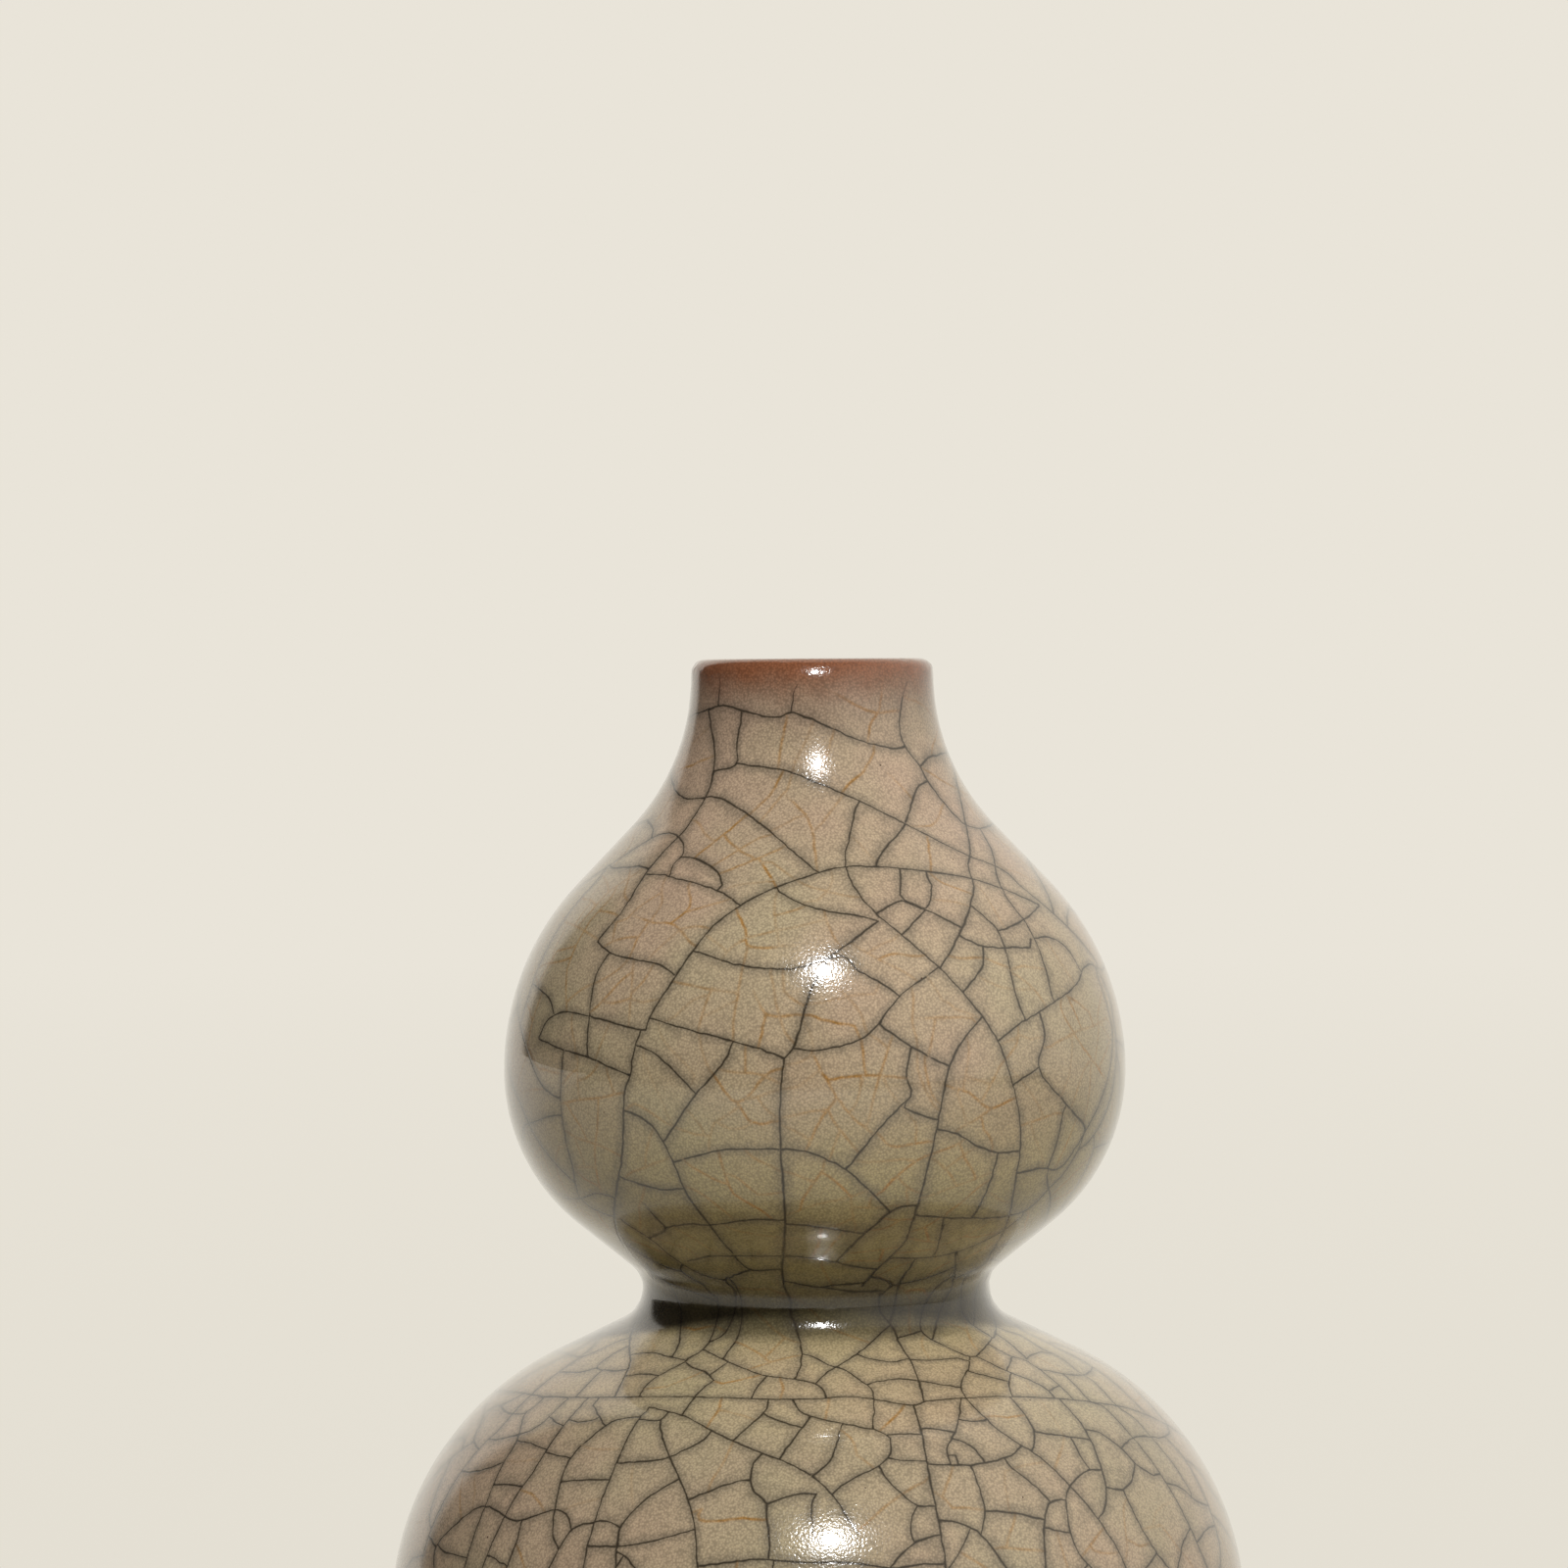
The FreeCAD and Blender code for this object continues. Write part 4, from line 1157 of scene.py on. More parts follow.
def buildGlaze(net, skin):
    cracks, threads = lineField(net, "crack"), lineField(net, "thread")
    fixed, edges, loose = glazePoints(net, skin, cracks, threads)
    print("glaze points", len(fixed), "on lines,", len(loose), "between")
    track, faces = triangulate(fixed, edges, loose)
    for _ in range(skin["finePasses"]):
        more = refinePoints(track, faces, cracks, threads, skin)
        if not len(more):
            break
        loose = loose + thinned(more, skin["fineApart"])
        track, faces = triangulate(fixed, edges, loose)
        print("refined by", len(more), "to", len(faces), "triangles")
    # weld the seam at the back
    low, high = climbOf["glazeEdge"], climbOf["lipEnd"]
    order = np.arange(len(track))
    left = np.nonzero(np.abs(track[:, 0] + math.pi) < 1e-6)[0]
    right = np.nonzero(np.abs(track[:, 0] - math.pi) < 1e-6)[0]
    left, right = left[np.argsort(track[left, 1])], right[np.argsort(track[right, 1])]
    if len(left) != len(right):
        raise ValueError("the seam's two sides differ: %d and %d points" % (len(left), len(right)))
    order[right] = left
    faces = order[faces]
    whole = (faces[:, 0] != faces[:, 1]) & (faces[:, 1] != faces[:, 2]) & (faces[:, 2] != faces[:, 0])
    faces = faces[whole]
    used = np.unique(faces)
    renumber = np.full(len(track), -1)
    renumber[used] = np.arange(len(used))
    faces, track = renumber[faces], track[used]
    places, normals = onGlaze(track[:, 0], track[:, 1])
    attributes = {}
    for kind, field in (("crack", cracks), ("thread", threads)):
        attributes[kind + "Distance"], attributes[kind + "Strength"] = fieldAt(field, places)
    rings = []
    for limit in (low, high):
        ring = np.nonzero(np.abs(track[:, 1] - limit) < 1e-6)[0]
        rings.append(ring[np.argsort(track[ring, 0])])
    return closedSkin(track, places, normals, faces, attributes, *rings, skin)


def closedSkin(track, places, normals, faces, attributes, bottom, top, skin):
    # rolls the lower edge, adds the inner face and closes both ends; corners carry exact normals
    vertices = [places]
    triangles, corners = [faces], [normals[faces]]
    total = len(places)

    def addRing(bearings, radius, height):
        nonlocal total
        height = np.full(len(bearings), height)
        vertices.append(np.stack([radius * np.sin(bearings), -radius * np.cos(bearings), height], axis=1))
        total += len(bearings)
        return np.arange(total - len(bearings), total)

    def slopeNormals(bearings, slope):
        out, rise = math.cos(slope), np.full(len(bearings), math.sin(slope))
        return np.stack([out * np.sin(bearings), -out * np.cos(bearings), rise], axis=1)

    def join(ringA, bearingsA, normalsA, ringB, bearingsB, normalsB):
        # a strip of triangles between two rings whose points stand at different bearings
        countA, countB = len(ringA), len(ringB)
        i = j = 0
        strip, stripNormals = [], []
        while i < countA or j < countB:
            nextA = bearingsA[(i + 1) % countA] + (2 * math.pi if i + 1 >= countA else 0)
            nextB = bearingsB[(j + 1) % countB] + (2 * math.pi if j + 1 >= countB else 0)
            a, b = i % countA, j % countB
            if j >= countB or (i < countA and nextA <= nextB):
                c = (i + 1) % countA
                strip.append((ringA[a], ringA[c], ringB[b]))
                stripNormals.append((normalsA[a], normalsA[c], normalsB[b]))
                i += 1
            else:
                c = (j + 1) % countB
                strip.append((ringA[a], ringB[c], ringB[b]))
                stripNormals.append((normalsA[a], normalsB[c], normalsB[b]))
                j += 1
        triangles.append(np.array(strip))
        corners.append(np.array(stripNormals))

    # rolled lower edge of the glaze
    bearings = track[bottom, 0]
    start = np.array([radiusAt(climbOf["glazeEdge"]), heightAt(climbOf["glazeEdge"])])
    corner = np.array([gourdShape["footRadius"], gourdShape["glazeLine"]])
    end = corner - np.array([skin["rollIn"], 0])
    slope = slopeAt(climbOf["glazeEdge"])
    ring, ringNormals = bottom, slopeNormals(bearings, slope)
    for i in range(1, skin["rollSteps"] + 1):
        share = i / skin["rollSteps"]
        place = (1 - share) ** 2 * start + 2 * share * (1 - share) * corner + share ** 2 * end
        lean = slope + (-math.pi / 2 - slope) * share
        nextNormals = slopeNormals(bearings, lean)
        nextRing = addRing(bearings, *place)
        join(nextRing, bearings, nextNormals, ring, bearings, ringNormals)
        ring, ringNormals = nextRing, nextNormals
    lowerRing = ring
    # inner face, from the foot up to the lip
    count = skin["innerColumns"]
    around = -math.pi + 2 * math.pi * np.arange(count) / count
    climbs = []
    climb = 0.0
    while climb < climbOf["lipEnd"]:
        climbs.append(climb)
        radius = radiusAt(climb)
        climb += min(skin["innerStep"], skin["innerShare"] * gapFor(climb, skin)) / radius
    climbs.append(climbOf["lipEnd"])
    lipStart = climbAt(gourdShape["rim"] - gourdShape["lipRound"])
    previous = None
    for climb in climbs:
        depth = np.interp(climb, [lipStart, climbOf["lipEnd"]],
                          [gourdShape["glazeDepth"], gourdShape["lipGlazeDepth"]])
        lean = slopeAt(climb)
        radius = radiusAt(climb) - depth * math.cos(lean)
        height = heightAt(climb) - depth * math.sin(lean)
        innerRing = addRing(around, radius, height)
        inward = -slopeNormals(around, lean)
        if previous is None:
            down = slopeNormals(bearings, -math.pi / 2)
            join(innerRing, around, slopeNormals(around, -math.pi / 2), lowerRing, bearings, down)
        else:
            join(innerRing, around, inward, previous[0], around, previous[1])
        previous = (innerRing, inward)
    topBearings = track[top, 0]
    inwardTop, inwardInner = -slopeNormals(topBearings, 0), -slopeNormals(around, 0)
    join(top, topBearings, inwardTop, previous[0], around, inwardInner)
    vertices = np.concatenate(vertices)
    triangles = np.concatenate(triangles)
    corners = np.concatenate(corners)
    # every face turned to agree with its corner normals
    first, second, third = (vertices[triangles[:, i]] for i in range(3))
    facing = np.sum(np.cross(second - first, third - first) * corners.sum(axis=1), axis=1)
    flip = facing < 0
    triangles[flip] = triangles[flip][:, [0, 2, 1]]
    corners[flip] = corners[flip][:, [0, 2, 1]]
    extra = total - len(places)
    for name in attributes:
        fill = glazeSkin["farAway"] if name.endswith("Distance") else 0.0
        rolled = np.tile(attributes[name][bottom], skin["rollSteps"])
        rest = np.full(extra - len(rolled), fill)
        attributes[name] = np.concatenate([attributes[name], rolled, rest])
    return vertices, triangles, corners, attributes


def meshObject(name, vertices, faces, corners=None, attributes=None):
    mesh = bpy.data.meshes.new(name)
    mesh.from_pydata((vertices * mm).tolist(), [], faces)
    mesh.polygons.foreach_set("use_smooth", [True] * len(mesh.polygons))
    for key, values in (attributes or {}).items():
        mesh.attributes.new(key, "FLOAT", "POINT").data.foreach_set("value", values.astype(np.float32))
    if corners is not None:
        mesh.normals_split_custom_set(corners.reshape(-1, 3).tolist())
    made = bpy.data.objects.new(name, mesh)
    bpy.context.scene.collection.objects.link(made)
    return made


vertices, triangles, corners, attributes = buildGlaze(network, glazeSkin)
glaze = meshObject("crackledGlaze", vertices, triangles.tolist(), corners, attributes)
edgeUse = np.unique(edgesOf(triangles), axis=0, return_counts=True)[1]
print("crackled glaze", len(vertices), "points,", len(triangles), "triangles, open edges",
      int(np.sum(edgeUse != 2)))


# Finishes. Pattern sizes are in mm and turned into texture scales per metre of Object coordinates
def perMetre(size):
    return 1000.0 / size


outerFinish = {
    # the olive is partly pooled glaze and partly painted shade and painted reflection under the upper bulb
    "warmGround": "#B09780", "coolGround": "#A7997C", "oliveAndShadeGround": "#958A61",
    "lineColour": "#2A241B", "haloColour": "#635B4E", "threadColour": "#9A733F",
    "mouthColour": "#7E4A2E", "mauveColour": "#80675A",
    # size, detail and roughness of each noise, and the span of its values that is used
    "patch": (36.0, 3.0, 0.55), "cloud": (5.0, 4.0, 0.6), "wave": (12.0, 0.0, 0.5),
    "peel": (0.44, 1.0, 0.5), "swell": (2.6, 2.0, 0.5), "rag": (6.0, 5.0, 0.68),
    "noiseFrom": 0.3, "noiseTo": 0.7, "patchFrom": 0.26, "patchTo": 0.74, "cloudDepth": 0.06,
    # gas bubbles held in the glaze
    "bubbleSize": 0.40, "bubbleDepth": 0.25, "bubbleFrom": 0.1, "bubbleTo": 0.75,
    # a line is solid to its half width, then soft; swell widens and narrows it
    "lineHalfWidth": 0.165, "lineSoft": 0.15, "lineInk": 0.93, "haloReach": 2.3, "haloInk": 0.55,
    "threadSoft": 0.46, "threadInk": 0.84, "swellFrom": 0.55, "swellTo": 1.3,
    # share of olive in the glaze (partly pooled glaze, partly painted shade), and painted light and shade,
    # by height above the foot in mm
    "oliveAndPaintedShadeByHeight": [(0, 0.1), (60, 0.05), (98, 0.05), (110, 0.4), (119, 0.95), (130, 1.0), (146, 0.6),
                      (162, 0.08), (190, 0.0), (228, 0.0)],
    # painted light and shade: the upper bulb's shadow painted dark on the waist, painted light on the lit
    # shoulder below it, and a painted reflection of the lit floor under the upper bulb
    "paintedLightAndShadeByHeight": [(0, 0.88), (60, 0.88), (98, 0.9), (105, 1.04), (111, 1.12), (113, 1.05), (114, 0.62),
                     (115, 0.34), (116.5, 0.24), (118, 0.22), (119.6, 0.36), (121.5, 0.68), (124, 0.98),
                     (134, 1.14), (142, 1.26), (149, 1.04), (153, 0.93), (160, 0.96), (175, 0.98),
                     (205, 0.91), (228, 0.92)],
    "mouth": (219.2, 227.2), "mouthInk": 0.92, "mauve": (211.0, 223.0), "mauveInk": 0.5, "ragged": 5.0,
    "peelDepth": 0.041, "waveDepth": 0.015, "grooveDepth": 0.006,
    "roughness": 0.13, "roughSpread": 0.06, "specular": 0.22, "coatRoughness": 0.025, "coat": 0.88,
}


def layInks(tree, look, colour, amounts):
    # colours of the look laid over one another, each by its amount
    for name, amount in amounts.items():
        colour = addNode(tree, "Mix", {
            "Factor": amount, "A": colour, "B": hexColour(look[name])
        }, data_type="RGBA")
    return colour


def startGlaze(name, look, noiseNames):
    # blotchy ground of a thick glaze: warm and greyer patches, olive bands that are partly painted shade,
    # clouding and bubbles, and painted light and shade by height
    material, tree = newMaterial(name)
    coord = addNode(tree, "TexCoord").outputs["Object"]
    height = addNode(tree, "SeparateXYZ", {"Vector": coord}).outputs["Z"]
    noises = {}
    for noiseName in noiseNames:
        size, detail, roughness = look[noiseName]
        noises[noiseName] = addNode(tree, "TexNoise", {
            "Vector": coord, "Scale": perMetre(size), "Detail": detail, "Roughness": roughness
        })
    warmth = addNode(tree, "MapRange", {
        "Value": noises["patch"], "From Min": look["patchFrom"], "From Max": look["patchTo"]
    }, interpolation_type="SMOOTHSTEP")
    climbed = addNode(tree, "MapRange", {"Value": height, "From Max": gourdShape["rim"] * mm})
    ramps = {}
    for key in ("oliveAndPaintedShadeByHeight", "paintedLightAndShadeByHeight"):
        ramps[key] = addNode(tree, "ValToRGB", {"Fac": climbed})
        stops = ramps[key].color_ramp.elements
        while len(stops) < len(look[key]):
            stops.new(0.5)
        for stop, (level, share) in zip(stops, look[key]):
            stop.position = level / gourdShape["rim"]
            stop.color = (share, share, share, 1)
    ground = addNode(tree, "Mix", {
        "Factor": warmth, "A": hexColour(look["coolGround"]), "B": hexColour(look["warmGround"])
    }, data_type="RGBA")
    # olive laid on by height: pooled glaze, and painted shade and a painted reflection of the shoulder on
    # the underside of the upper bulb and at the waist
    ground = layInks(tree, look, ground, {"oliveAndShadeGround": ramps["oliveAndPaintedShadeByHeight"]})
    clouding = addNode(tree, "MapRange", {
        "Value": noises["cloud"], "From Min": look["noiseFrom"], "From Max": look["noiseTo"],
        "To Min": 1 - look["cloudDepth"], "To Max": 1 + look["cloudDepth"]
    })
    bubble = addNode(tree, "TexVoronoi", {
        "Vector": coord, "Scale": perMetre(look["bubbleSize"]), "Randomness": 1.0
    })
    bubbles = addNode(tree, "MapRange", {
        "Value": bubble, "From Min": look["bubbleFrom"], "From Max": look["bubbleTo"],
        "To Min": 1 + look["bubbleDepth"], "To Max": 1 - look["bubbleDepth"]
    })
    light = addNode(tree, "Math", {0: clouding, 1: bubbles}, operation="MULTIPLY")
    # painted light and shade by height, multiplied into the colour
    light = addNode(tree, "Math", {0: light, 1: ramps["paintedLightAndShadeByHeight"]}, operation="MULTIPLY")
    return material, tree, coord, height, noises, ground, light


def lightened(tree, colour, light):
    return addNode(tree, "VectorMath", {"Vector": colour, "Scale": light}, operation="SCALE")


def finishGlaze(tree, look, colour, gloss, groove, noises):
    # smooth gloss with slow waves over a body of fine bubbles that scatter the light
    waves = addNode(tree, "Bump", {
        "Height": noises["wave"], "Strength": 1.0, "Distance": look["waveDepth"] * mm
    })
    grooved = addNode(tree, "Bump", {
        "Height": groove, "Normal": waves, "Strength": 1.0, "Distance": look["grooveDepth"] * mm
    }, invert=True)
    peeled = addNode(tree, "Bump", {
        "Height": noises["peel"], "Normal": grooved, "Strength": 1.0, "Distance": look["peelDepth"] * mm
    })
    rough = addNode(tree, "MapRange", {
        "Value": gloss, "From Min": look["noiseFrom"], "From Max": look["noiseTo"],
        "To Min": look["roughness"], "To Max": look["roughness"] + look["roughSpread"]
    })
    shader = addNode(tree, "BsdfPrincipled", {
        "Base Color": colour, "Roughness": rough, "Normal": peeled, "Coat Normal": grooved,
        "Coat Weight": look["coat"], "Coat Roughness": look["coatRoughness"],
        "Specular IOR Level": look["specular"]
    })
    addNode(tree, "OutputMaterial", {"Surface": shader})


def buildOuterGlaze(name, look):
    # Thick translucent stoneware glaze, dipped and gloss fired. Shines like wet stone over a clouded beige,
    # with ink rubbed into its cracks and a finer gold crazing, and burns reddish brown at the lip. Painted
    # light and shade by height is laid into its colour as well.
    material, tree, coord, height, noises, ground, light = startGlaze(
        name, look, ("patch", "cloud", "wave", "peel", "swell", "rag"))
    marks = {}
    for key in ("crackDistance", "crackStrength", "threadDistance", "threadStrength"):
        marks[key] = addNode(tree, "Attribute", attribute_name=key).outputs["Fac"]
    swelling = addNode(tree, "MapRange", {
        "Value": noises["swell"], "From Min": look["noiseFrom"], "From Max": look["noiseTo"],
        "To Min": look["swellFrom"], "To Max": look["swellTo"]
    })
    weight = addNode(tree, "Math", {0: swelling, 1: marks["crackStrength"]}, operation="MULTIPLY")
    reach = addNode(tree, "Math", {0: marks["crackDistance"], 1: weight}, operation="DIVIDE")
    line = addNode(tree, "MapRange", {
        "Value": reach, "From Min": look["lineHalfWidth"] - look["lineSoft"],
        "From Max": look["lineHalfWidth"] + look["lineSoft"], "To Min": look["lineInk"], "To Max": 0.0
    }, interpolation_type="SMOOTHSTEP")
    halo = addNode(tree, "MapRange", {
        "Value": reach, "From Min": 0.0, "From Max": look["haloReach"], "To Min": look["haloInk"],
        "To Max": 0.0
    }, interpolation_type="SMOOTHSTEP")
    threadReach = addNode(tree, "MapRange", {
        "Value": marks["threadDistance"], "From Min": 0.0, "From Max": look["threadSoft"],
        "To Min": look["threadInk"], "To Max": 0.0
    }, interpolation_type="SMOOTHSTEP")
    threadSwell = addNode(tree, "Math", {0: threadReach, 1: swelling}, operation="MULTIPLY")
    thread = addNode(tree, "Math", {
        0: threadSwell, 1: marks["threadStrength"]
    }, operation="MULTIPLY", use_clamp=True)
    amounts = {"threadColour": thread, "haloColour": halo}
    # mauve, then reddish brown where the glaze drew thin over the lip, with a ragged lower edge
    ragged = addNode(tree, "Math", {
        0: noises["rag"], 1: look["ragged"] * mm, 2: height
    }, operation="MULTIPLY_ADD")
    for key in ("mauve", "mouth"):
        low, high = look[key]
        amounts[key + "Colour"] = addNode(tree, "MapRange", {
            "Value": ragged, "From Min": (low + look["ragged"] / 2) * mm,
            "From Max": (high + look["ragged"] / 2) * mm, "To Max": look[key + "Ink"]
        }, interpolation_type="SMOOTHSTEP")
    colour = lightened(tree, layInks(tree, look, ground, amounts), light)
    colour = layInks(tree, look, colour, {"lineColour": line})
    finishGlaze(tree, look, colour, noises["swell"], line, noises)
    return material


glaze.data.materials.append(buildOuterGlaze("crackled stoneware glaze dipped and gloss fired", outerFinish))
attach(glaze, "root")
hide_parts("outer_glaze")
print("outer glaze finished")

# Inner glaze: one closed skin from the middle of the vase's floor up to the lip and back behind itself
liner = {
    "depth": 4.8, "behind": 4.3, "columns": 128, "rowStep": 2.0, "floor": 11.5, "floorRound": 12.0,
    "filletRadius": 36.5, "filletTop": 13.56, "mouthRound": 1.3, "mouthMiddle": 226.7, "lipRadius": 17.5,
    "filletRows": 14, "floorRows": (0.04, 0.94, 16), "mouthRows": 9, "hiddenRows": 5, "rowClear": 0.3,
    "rowShare": 1.4, "steepest": 1.2,
    # how much thinner and lower the hidden face's own mouth is, and the sharpest edge shaded smooth
    "hiddenNarrow": 0.5, "hiddenLow": 0.4, "sharpEdge": 0.7,
    "ringPitch": 5.5, "ringDepth": 0.16, "ringTwist": 1.0, "ringFrom": 16.0, "ringTop": 205.0,
    "unevenSize": 40.0,
}


def wallPath(shape, depth, floor, roundness):
    # radius and height up the inside of the wall at a depth below the outer face
    steepest = math.asin((shape["filletTop"] - floor - roundness) / roundness)
    lean = np.linspace(-math.pi / 2, steepest, shape["filletRows"])
    path = [(0.0, floor)]
    path += [(shape["filletRadius"] * share, floor) for share in np.linspace(*shape["floorRows"])]
    path += [(shape["filletRadius"] + roundness * math.cos(a), floor + roundness + roundness * math.sin(a))
             for a in lean]
    climb = 0.0
    while climb < climbOf["lipEnd"]:
        slope = slopeAt(climb)
        height = heightAt(climb) - depth * math.sin(slope)
        clear = path[-1][1] + shape["rowClear"] < height < shape["mouthMiddle"] - shape["rowClear"]
        if clear and slope < shape["steepest"]:
            path.append((radiusAt(climb) - depth * math.cos(slope), height))
        climb += min(shape["rowStep"], shape["rowShare"] * gapFor(climb, glazeSkin)) / radiusAt(climb)
    return path


def linerProfile(shape):
    inner, lift = shape["mouthRound"], shape["depth"] - shape["behind"]
    faces = []
    for depth, floor, roundness, across, up, count in (
            (shape["depth"], shape["floor"], shape["floorRound"], inner, inner, shape["mouthRows"]),
            (shape["behind"], shape["floor"] - lift, shape["floorRound"] + lift,
             inner - shape["hiddenNarrow"], inner - shape["hiddenLow"], shape["hiddenRows"])):
        path = wallPath(shape, depth, floor, roundness)
        path += [(shape["lipRadius"] - across * math.cos(a), shape["mouthMiddle"] + up * math.sin(a))
                 for a in np.linspace(0, math.pi / 2, count)]
        faces.append(path)
    return faces[0] + faces[1][::-1]


def latheMesh(name, profile, columns, sharpEdge):
    # turned solid from a profile that starts and ends on the axis
    around = 2 * math.pi * np.arange(columns) / columns
    rows = profile[1:-1]
    places = [(0, 0, profile[0][1]), (0, 0, profile[-1][1])]
    places += [(r * math.sin(a), -r * math.cos(a), z) for r, z in rows for a in around]
    faces = []
    for row in range(len(rows) - 1):
        for i in range(columns):
            a, b = 2 + row * columns + i, 2 + row * columns + (i + 1) % columns
            faces.append((a, a + columns, b + columns, b))
    last = 2 + (len(rows) - 1) * columns
    faces += [(0, 2 + i, 2 + (i + 1) % columns) for i in range(columns)]
    faces += [(1, last + (i + 1) % columns, last + i) for i in range(columns)]
    made = meshObject(name, np.array(places), faces)
    work = bmesh.new()
    work.from_mesh(made.data)
    bmesh.ops.recalc_face_normals(work, faces=work.faces)
    for edge in work.edges:
        edge.smooth = edge.calc_face_angle(0.0) < sharpEdge
    work.to_mesh(made.data)
    work.free()
    return made


def newGeometryTree(name, inputs):
    # geometry nodes tree with named inputs for its sizes
    tree = bpy.data.node_groups.new(name, "GeometryNodeTree")
    tree.interface.new_socket("Geometry", in_out="INPUT", socket_type="NodeSocketGeometry")
    tree.interface.new_socket("Geometry", in_out="OUTPUT", socket_type="NodeSocketGeometry")
    kinds = {float: "NodeSocketFloat", int: "NodeSocketInt", bpy.types.Material: "NodeSocketMaterial"}
    for label, value in inputs.items():
        tree.interface.new_socket(label, in_out="INPUT", socket_type=kinds[type(value)])
    return tree, addNode(tree, "NodeGroupInput"), addNode(tree, "NodeGroupOutput")


def throughNodes(made, tree, inputs):
    # runs the tree on the object and leaves a plain mesh
    modifier = made.modifiers.new(tree.name, "NODES")
    modifier.node_group = tree
    for item in tree.interface.items_tree:
        if item.in_out == "INPUT" and item.name in inputs:
            modifier[item.identifier] = inputs[item.name]
    bpy.context.view_layer.update()
    result = bpy.data.meshes.new_from_object(made.evaluated_get(bpy.context.evaluated_depsgraph_get()))
    made.modifiers.clear()
    made.data = result


def ringNodes(look, inputs):
    # the thrower's finger ridges: a wave that climbs the inside wall as a shallow screw
    tree, given, out = newGeometryTree("throwingRings", inputs)
    place = addNode(tree, "GeometryNodeInputPosition")
    split = addNode(tree, "SeparateXYZ", {"Vector": place})
    turn = addNode(tree, "Math", {0: split.outputs["X"], 1: split.outputs["Y"]}, operation="ARCTAN2")
    twist = addNode(tree, "Math", {0: turn, 1: given.outputs["Twist"]}, operation="MULTIPLY")
    rise = addNode(tree, "Math", {0: split.outputs["Z"], 1: given.outputs["Pitch"]}, operation="DIVIDE")
    phase = addNode(tree, "Math", {0: rise, 1: 2 * math.pi, 2: twist}, operation="MULTIPLY_ADD")
    reach = addNode(tree, "Math", {0: phase}, operation="SINE")
    uneven = addNode(tree, "TexNoise", {
        "Vector": place, "Scale": perMetre(look["unevenSize"]), "Detail": 1.0
    })
    fade = addNode(tree, "MapRange", {
        "Value": split.outputs["Z"], "From Min": given.outputs["Top"],
        "From Max": gourdShape["rim"] * mm, "To Min": 1.0, "To Max": 0.0
    })
    for factor in (uneven, given.outputs["Depth"], fade):
        reach = addNode(tree, "Math", {0: reach, 1: factor}, operation="MULTIPLY")
    normal = addNode(tree, "GeometryNodeInputNormal")
    shift = addNode(tree, "VectorMath", {"Vector": normal, "Scale": reach}, operation="SCALE")
    # only the face that the hand touched: its normal looks at the axis
    inward = addNode(tree, "VectorMath", {0: place, 1: normal}, operation="DOT_PRODUCT")
    touched = addNode(tree, "FunctionNodeCompare", {0: inward, 1: 0.0}, operation="LESS_THAN")
    above = addNode(tree, "FunctionNodeCompare", {
        0: split.outputs["Z"], 1: look["ringFrom"] * mm
    }, operation="GREATER_THAN")
    both = addNode(tree, "FunctionNodeBooleanMath", {0: touched, 1: above}, operation="AND")
    moved = addNode(tree, "GeometryNodeSetPosition", {
        "Geometry": given.outputs["Geometry"], "Selection": both, "Offset": shift
    })
    painted = addNode(tree, "GeometryNodeSetMaterial", {
        "Geometry": moved, "Material": given.outputs["Finish"]
    })
    real = addNode(tree, "GeometryNodeRealizeInstances", {"Geometry": painted})
    feed(tree, out, {"Geometry": real})
    return tree


innerFinish = dict(
    outerFinish, warmGround="#A99581", coolGround="#9D9379", cell=(8.5, 2.0, 0.5), cellWarp=2.2,
    lineHalfWidth=0.16, lineSoft=0.14, grooveDepth=0.01, peel=(0.6, 1.0, 0.5), peelDepth=0.015,
    threadCells=2.1, threadReach=0.09, threadShare=0.6)
baseFinish = dict(
    innerFinish, warmGround="#A28C72", coolGround="#978B6C", cell=(6.0, 2.0, 0.5), cellWarp=1.4)


def buildPlainGlaze(name, look):
    # Same gloss-fired glaze where the photograph doesn't show it. Its crackle is plainer: the edges of
    # warped cells in the texture
    material, tree, coord, height, noises, ground, light = startGlaze(
        name, look, ("patch", "cloud", "wave", "peel", "cell"))
    ground = lightened(tree, ground, light)
    cellSize = look["cell"][0]
    centred = addNode(tree, "VectorMath", {
        0: noises["cell"].outputs["Color"], 1: (0.5, 0.5, 0.5)
    }, operation="SUBTRACT")
    warped = addNode(tree, "VectorMath", {
        0: centred, 1: (look["cellWarp"] * mm,) * 3, 2: coord
    }, operation="MULTIPLY_ADD")
    lineReach = look["lineHalfWidth"] + look["lineSoft"]
    threadInk = look["threadInk"] * look["threadShare"]
    edges = {}
    for key, size, reach, ink in (
            ("lineColour", cellSize, lineReach / cellSize, look["lineInk"]),
            ("haloColour", cellSize, look["haloReach"] / cellSize, look["haloInk"]),
            ("threadColour", cellSize / look["threadCells"], look["threadReach"], threadInk)):
        cells = addNode(tree, "TexVoronoi", {
            "Vector": warped, "Scale": perMetre(size)
        }, feature="DISTANCE_TO_EDGE")
        edges[key] = addNode(tree, "MapRange", {
            "Value": cells, "From Min": 0.0, "From Max": reach, "To Min": ink, "To Max": 0.0
        }, interpolation_type="SMOOTHSTEP")
    burnt = addNode(tree, "MapRange", {
        "Value": height, "From Min": look["mouth"][0] * mm, "From Max": look["mouth"][1] * mm,
        "To Max": look["mouthInk"]
    }, interpolation_type="SMOOTHSTEP")
    colour = layInks(tree, look, ground, {
        "threadColour": edges["threadColour"], "haloColour": edges["haloColour"], "mouthColour": burnt,
        "lineColour": edges["lineColour"]
    })
    finishGlaze(tree, look, colour, noises["cell"], edges["lineColour"], noises)
    return material


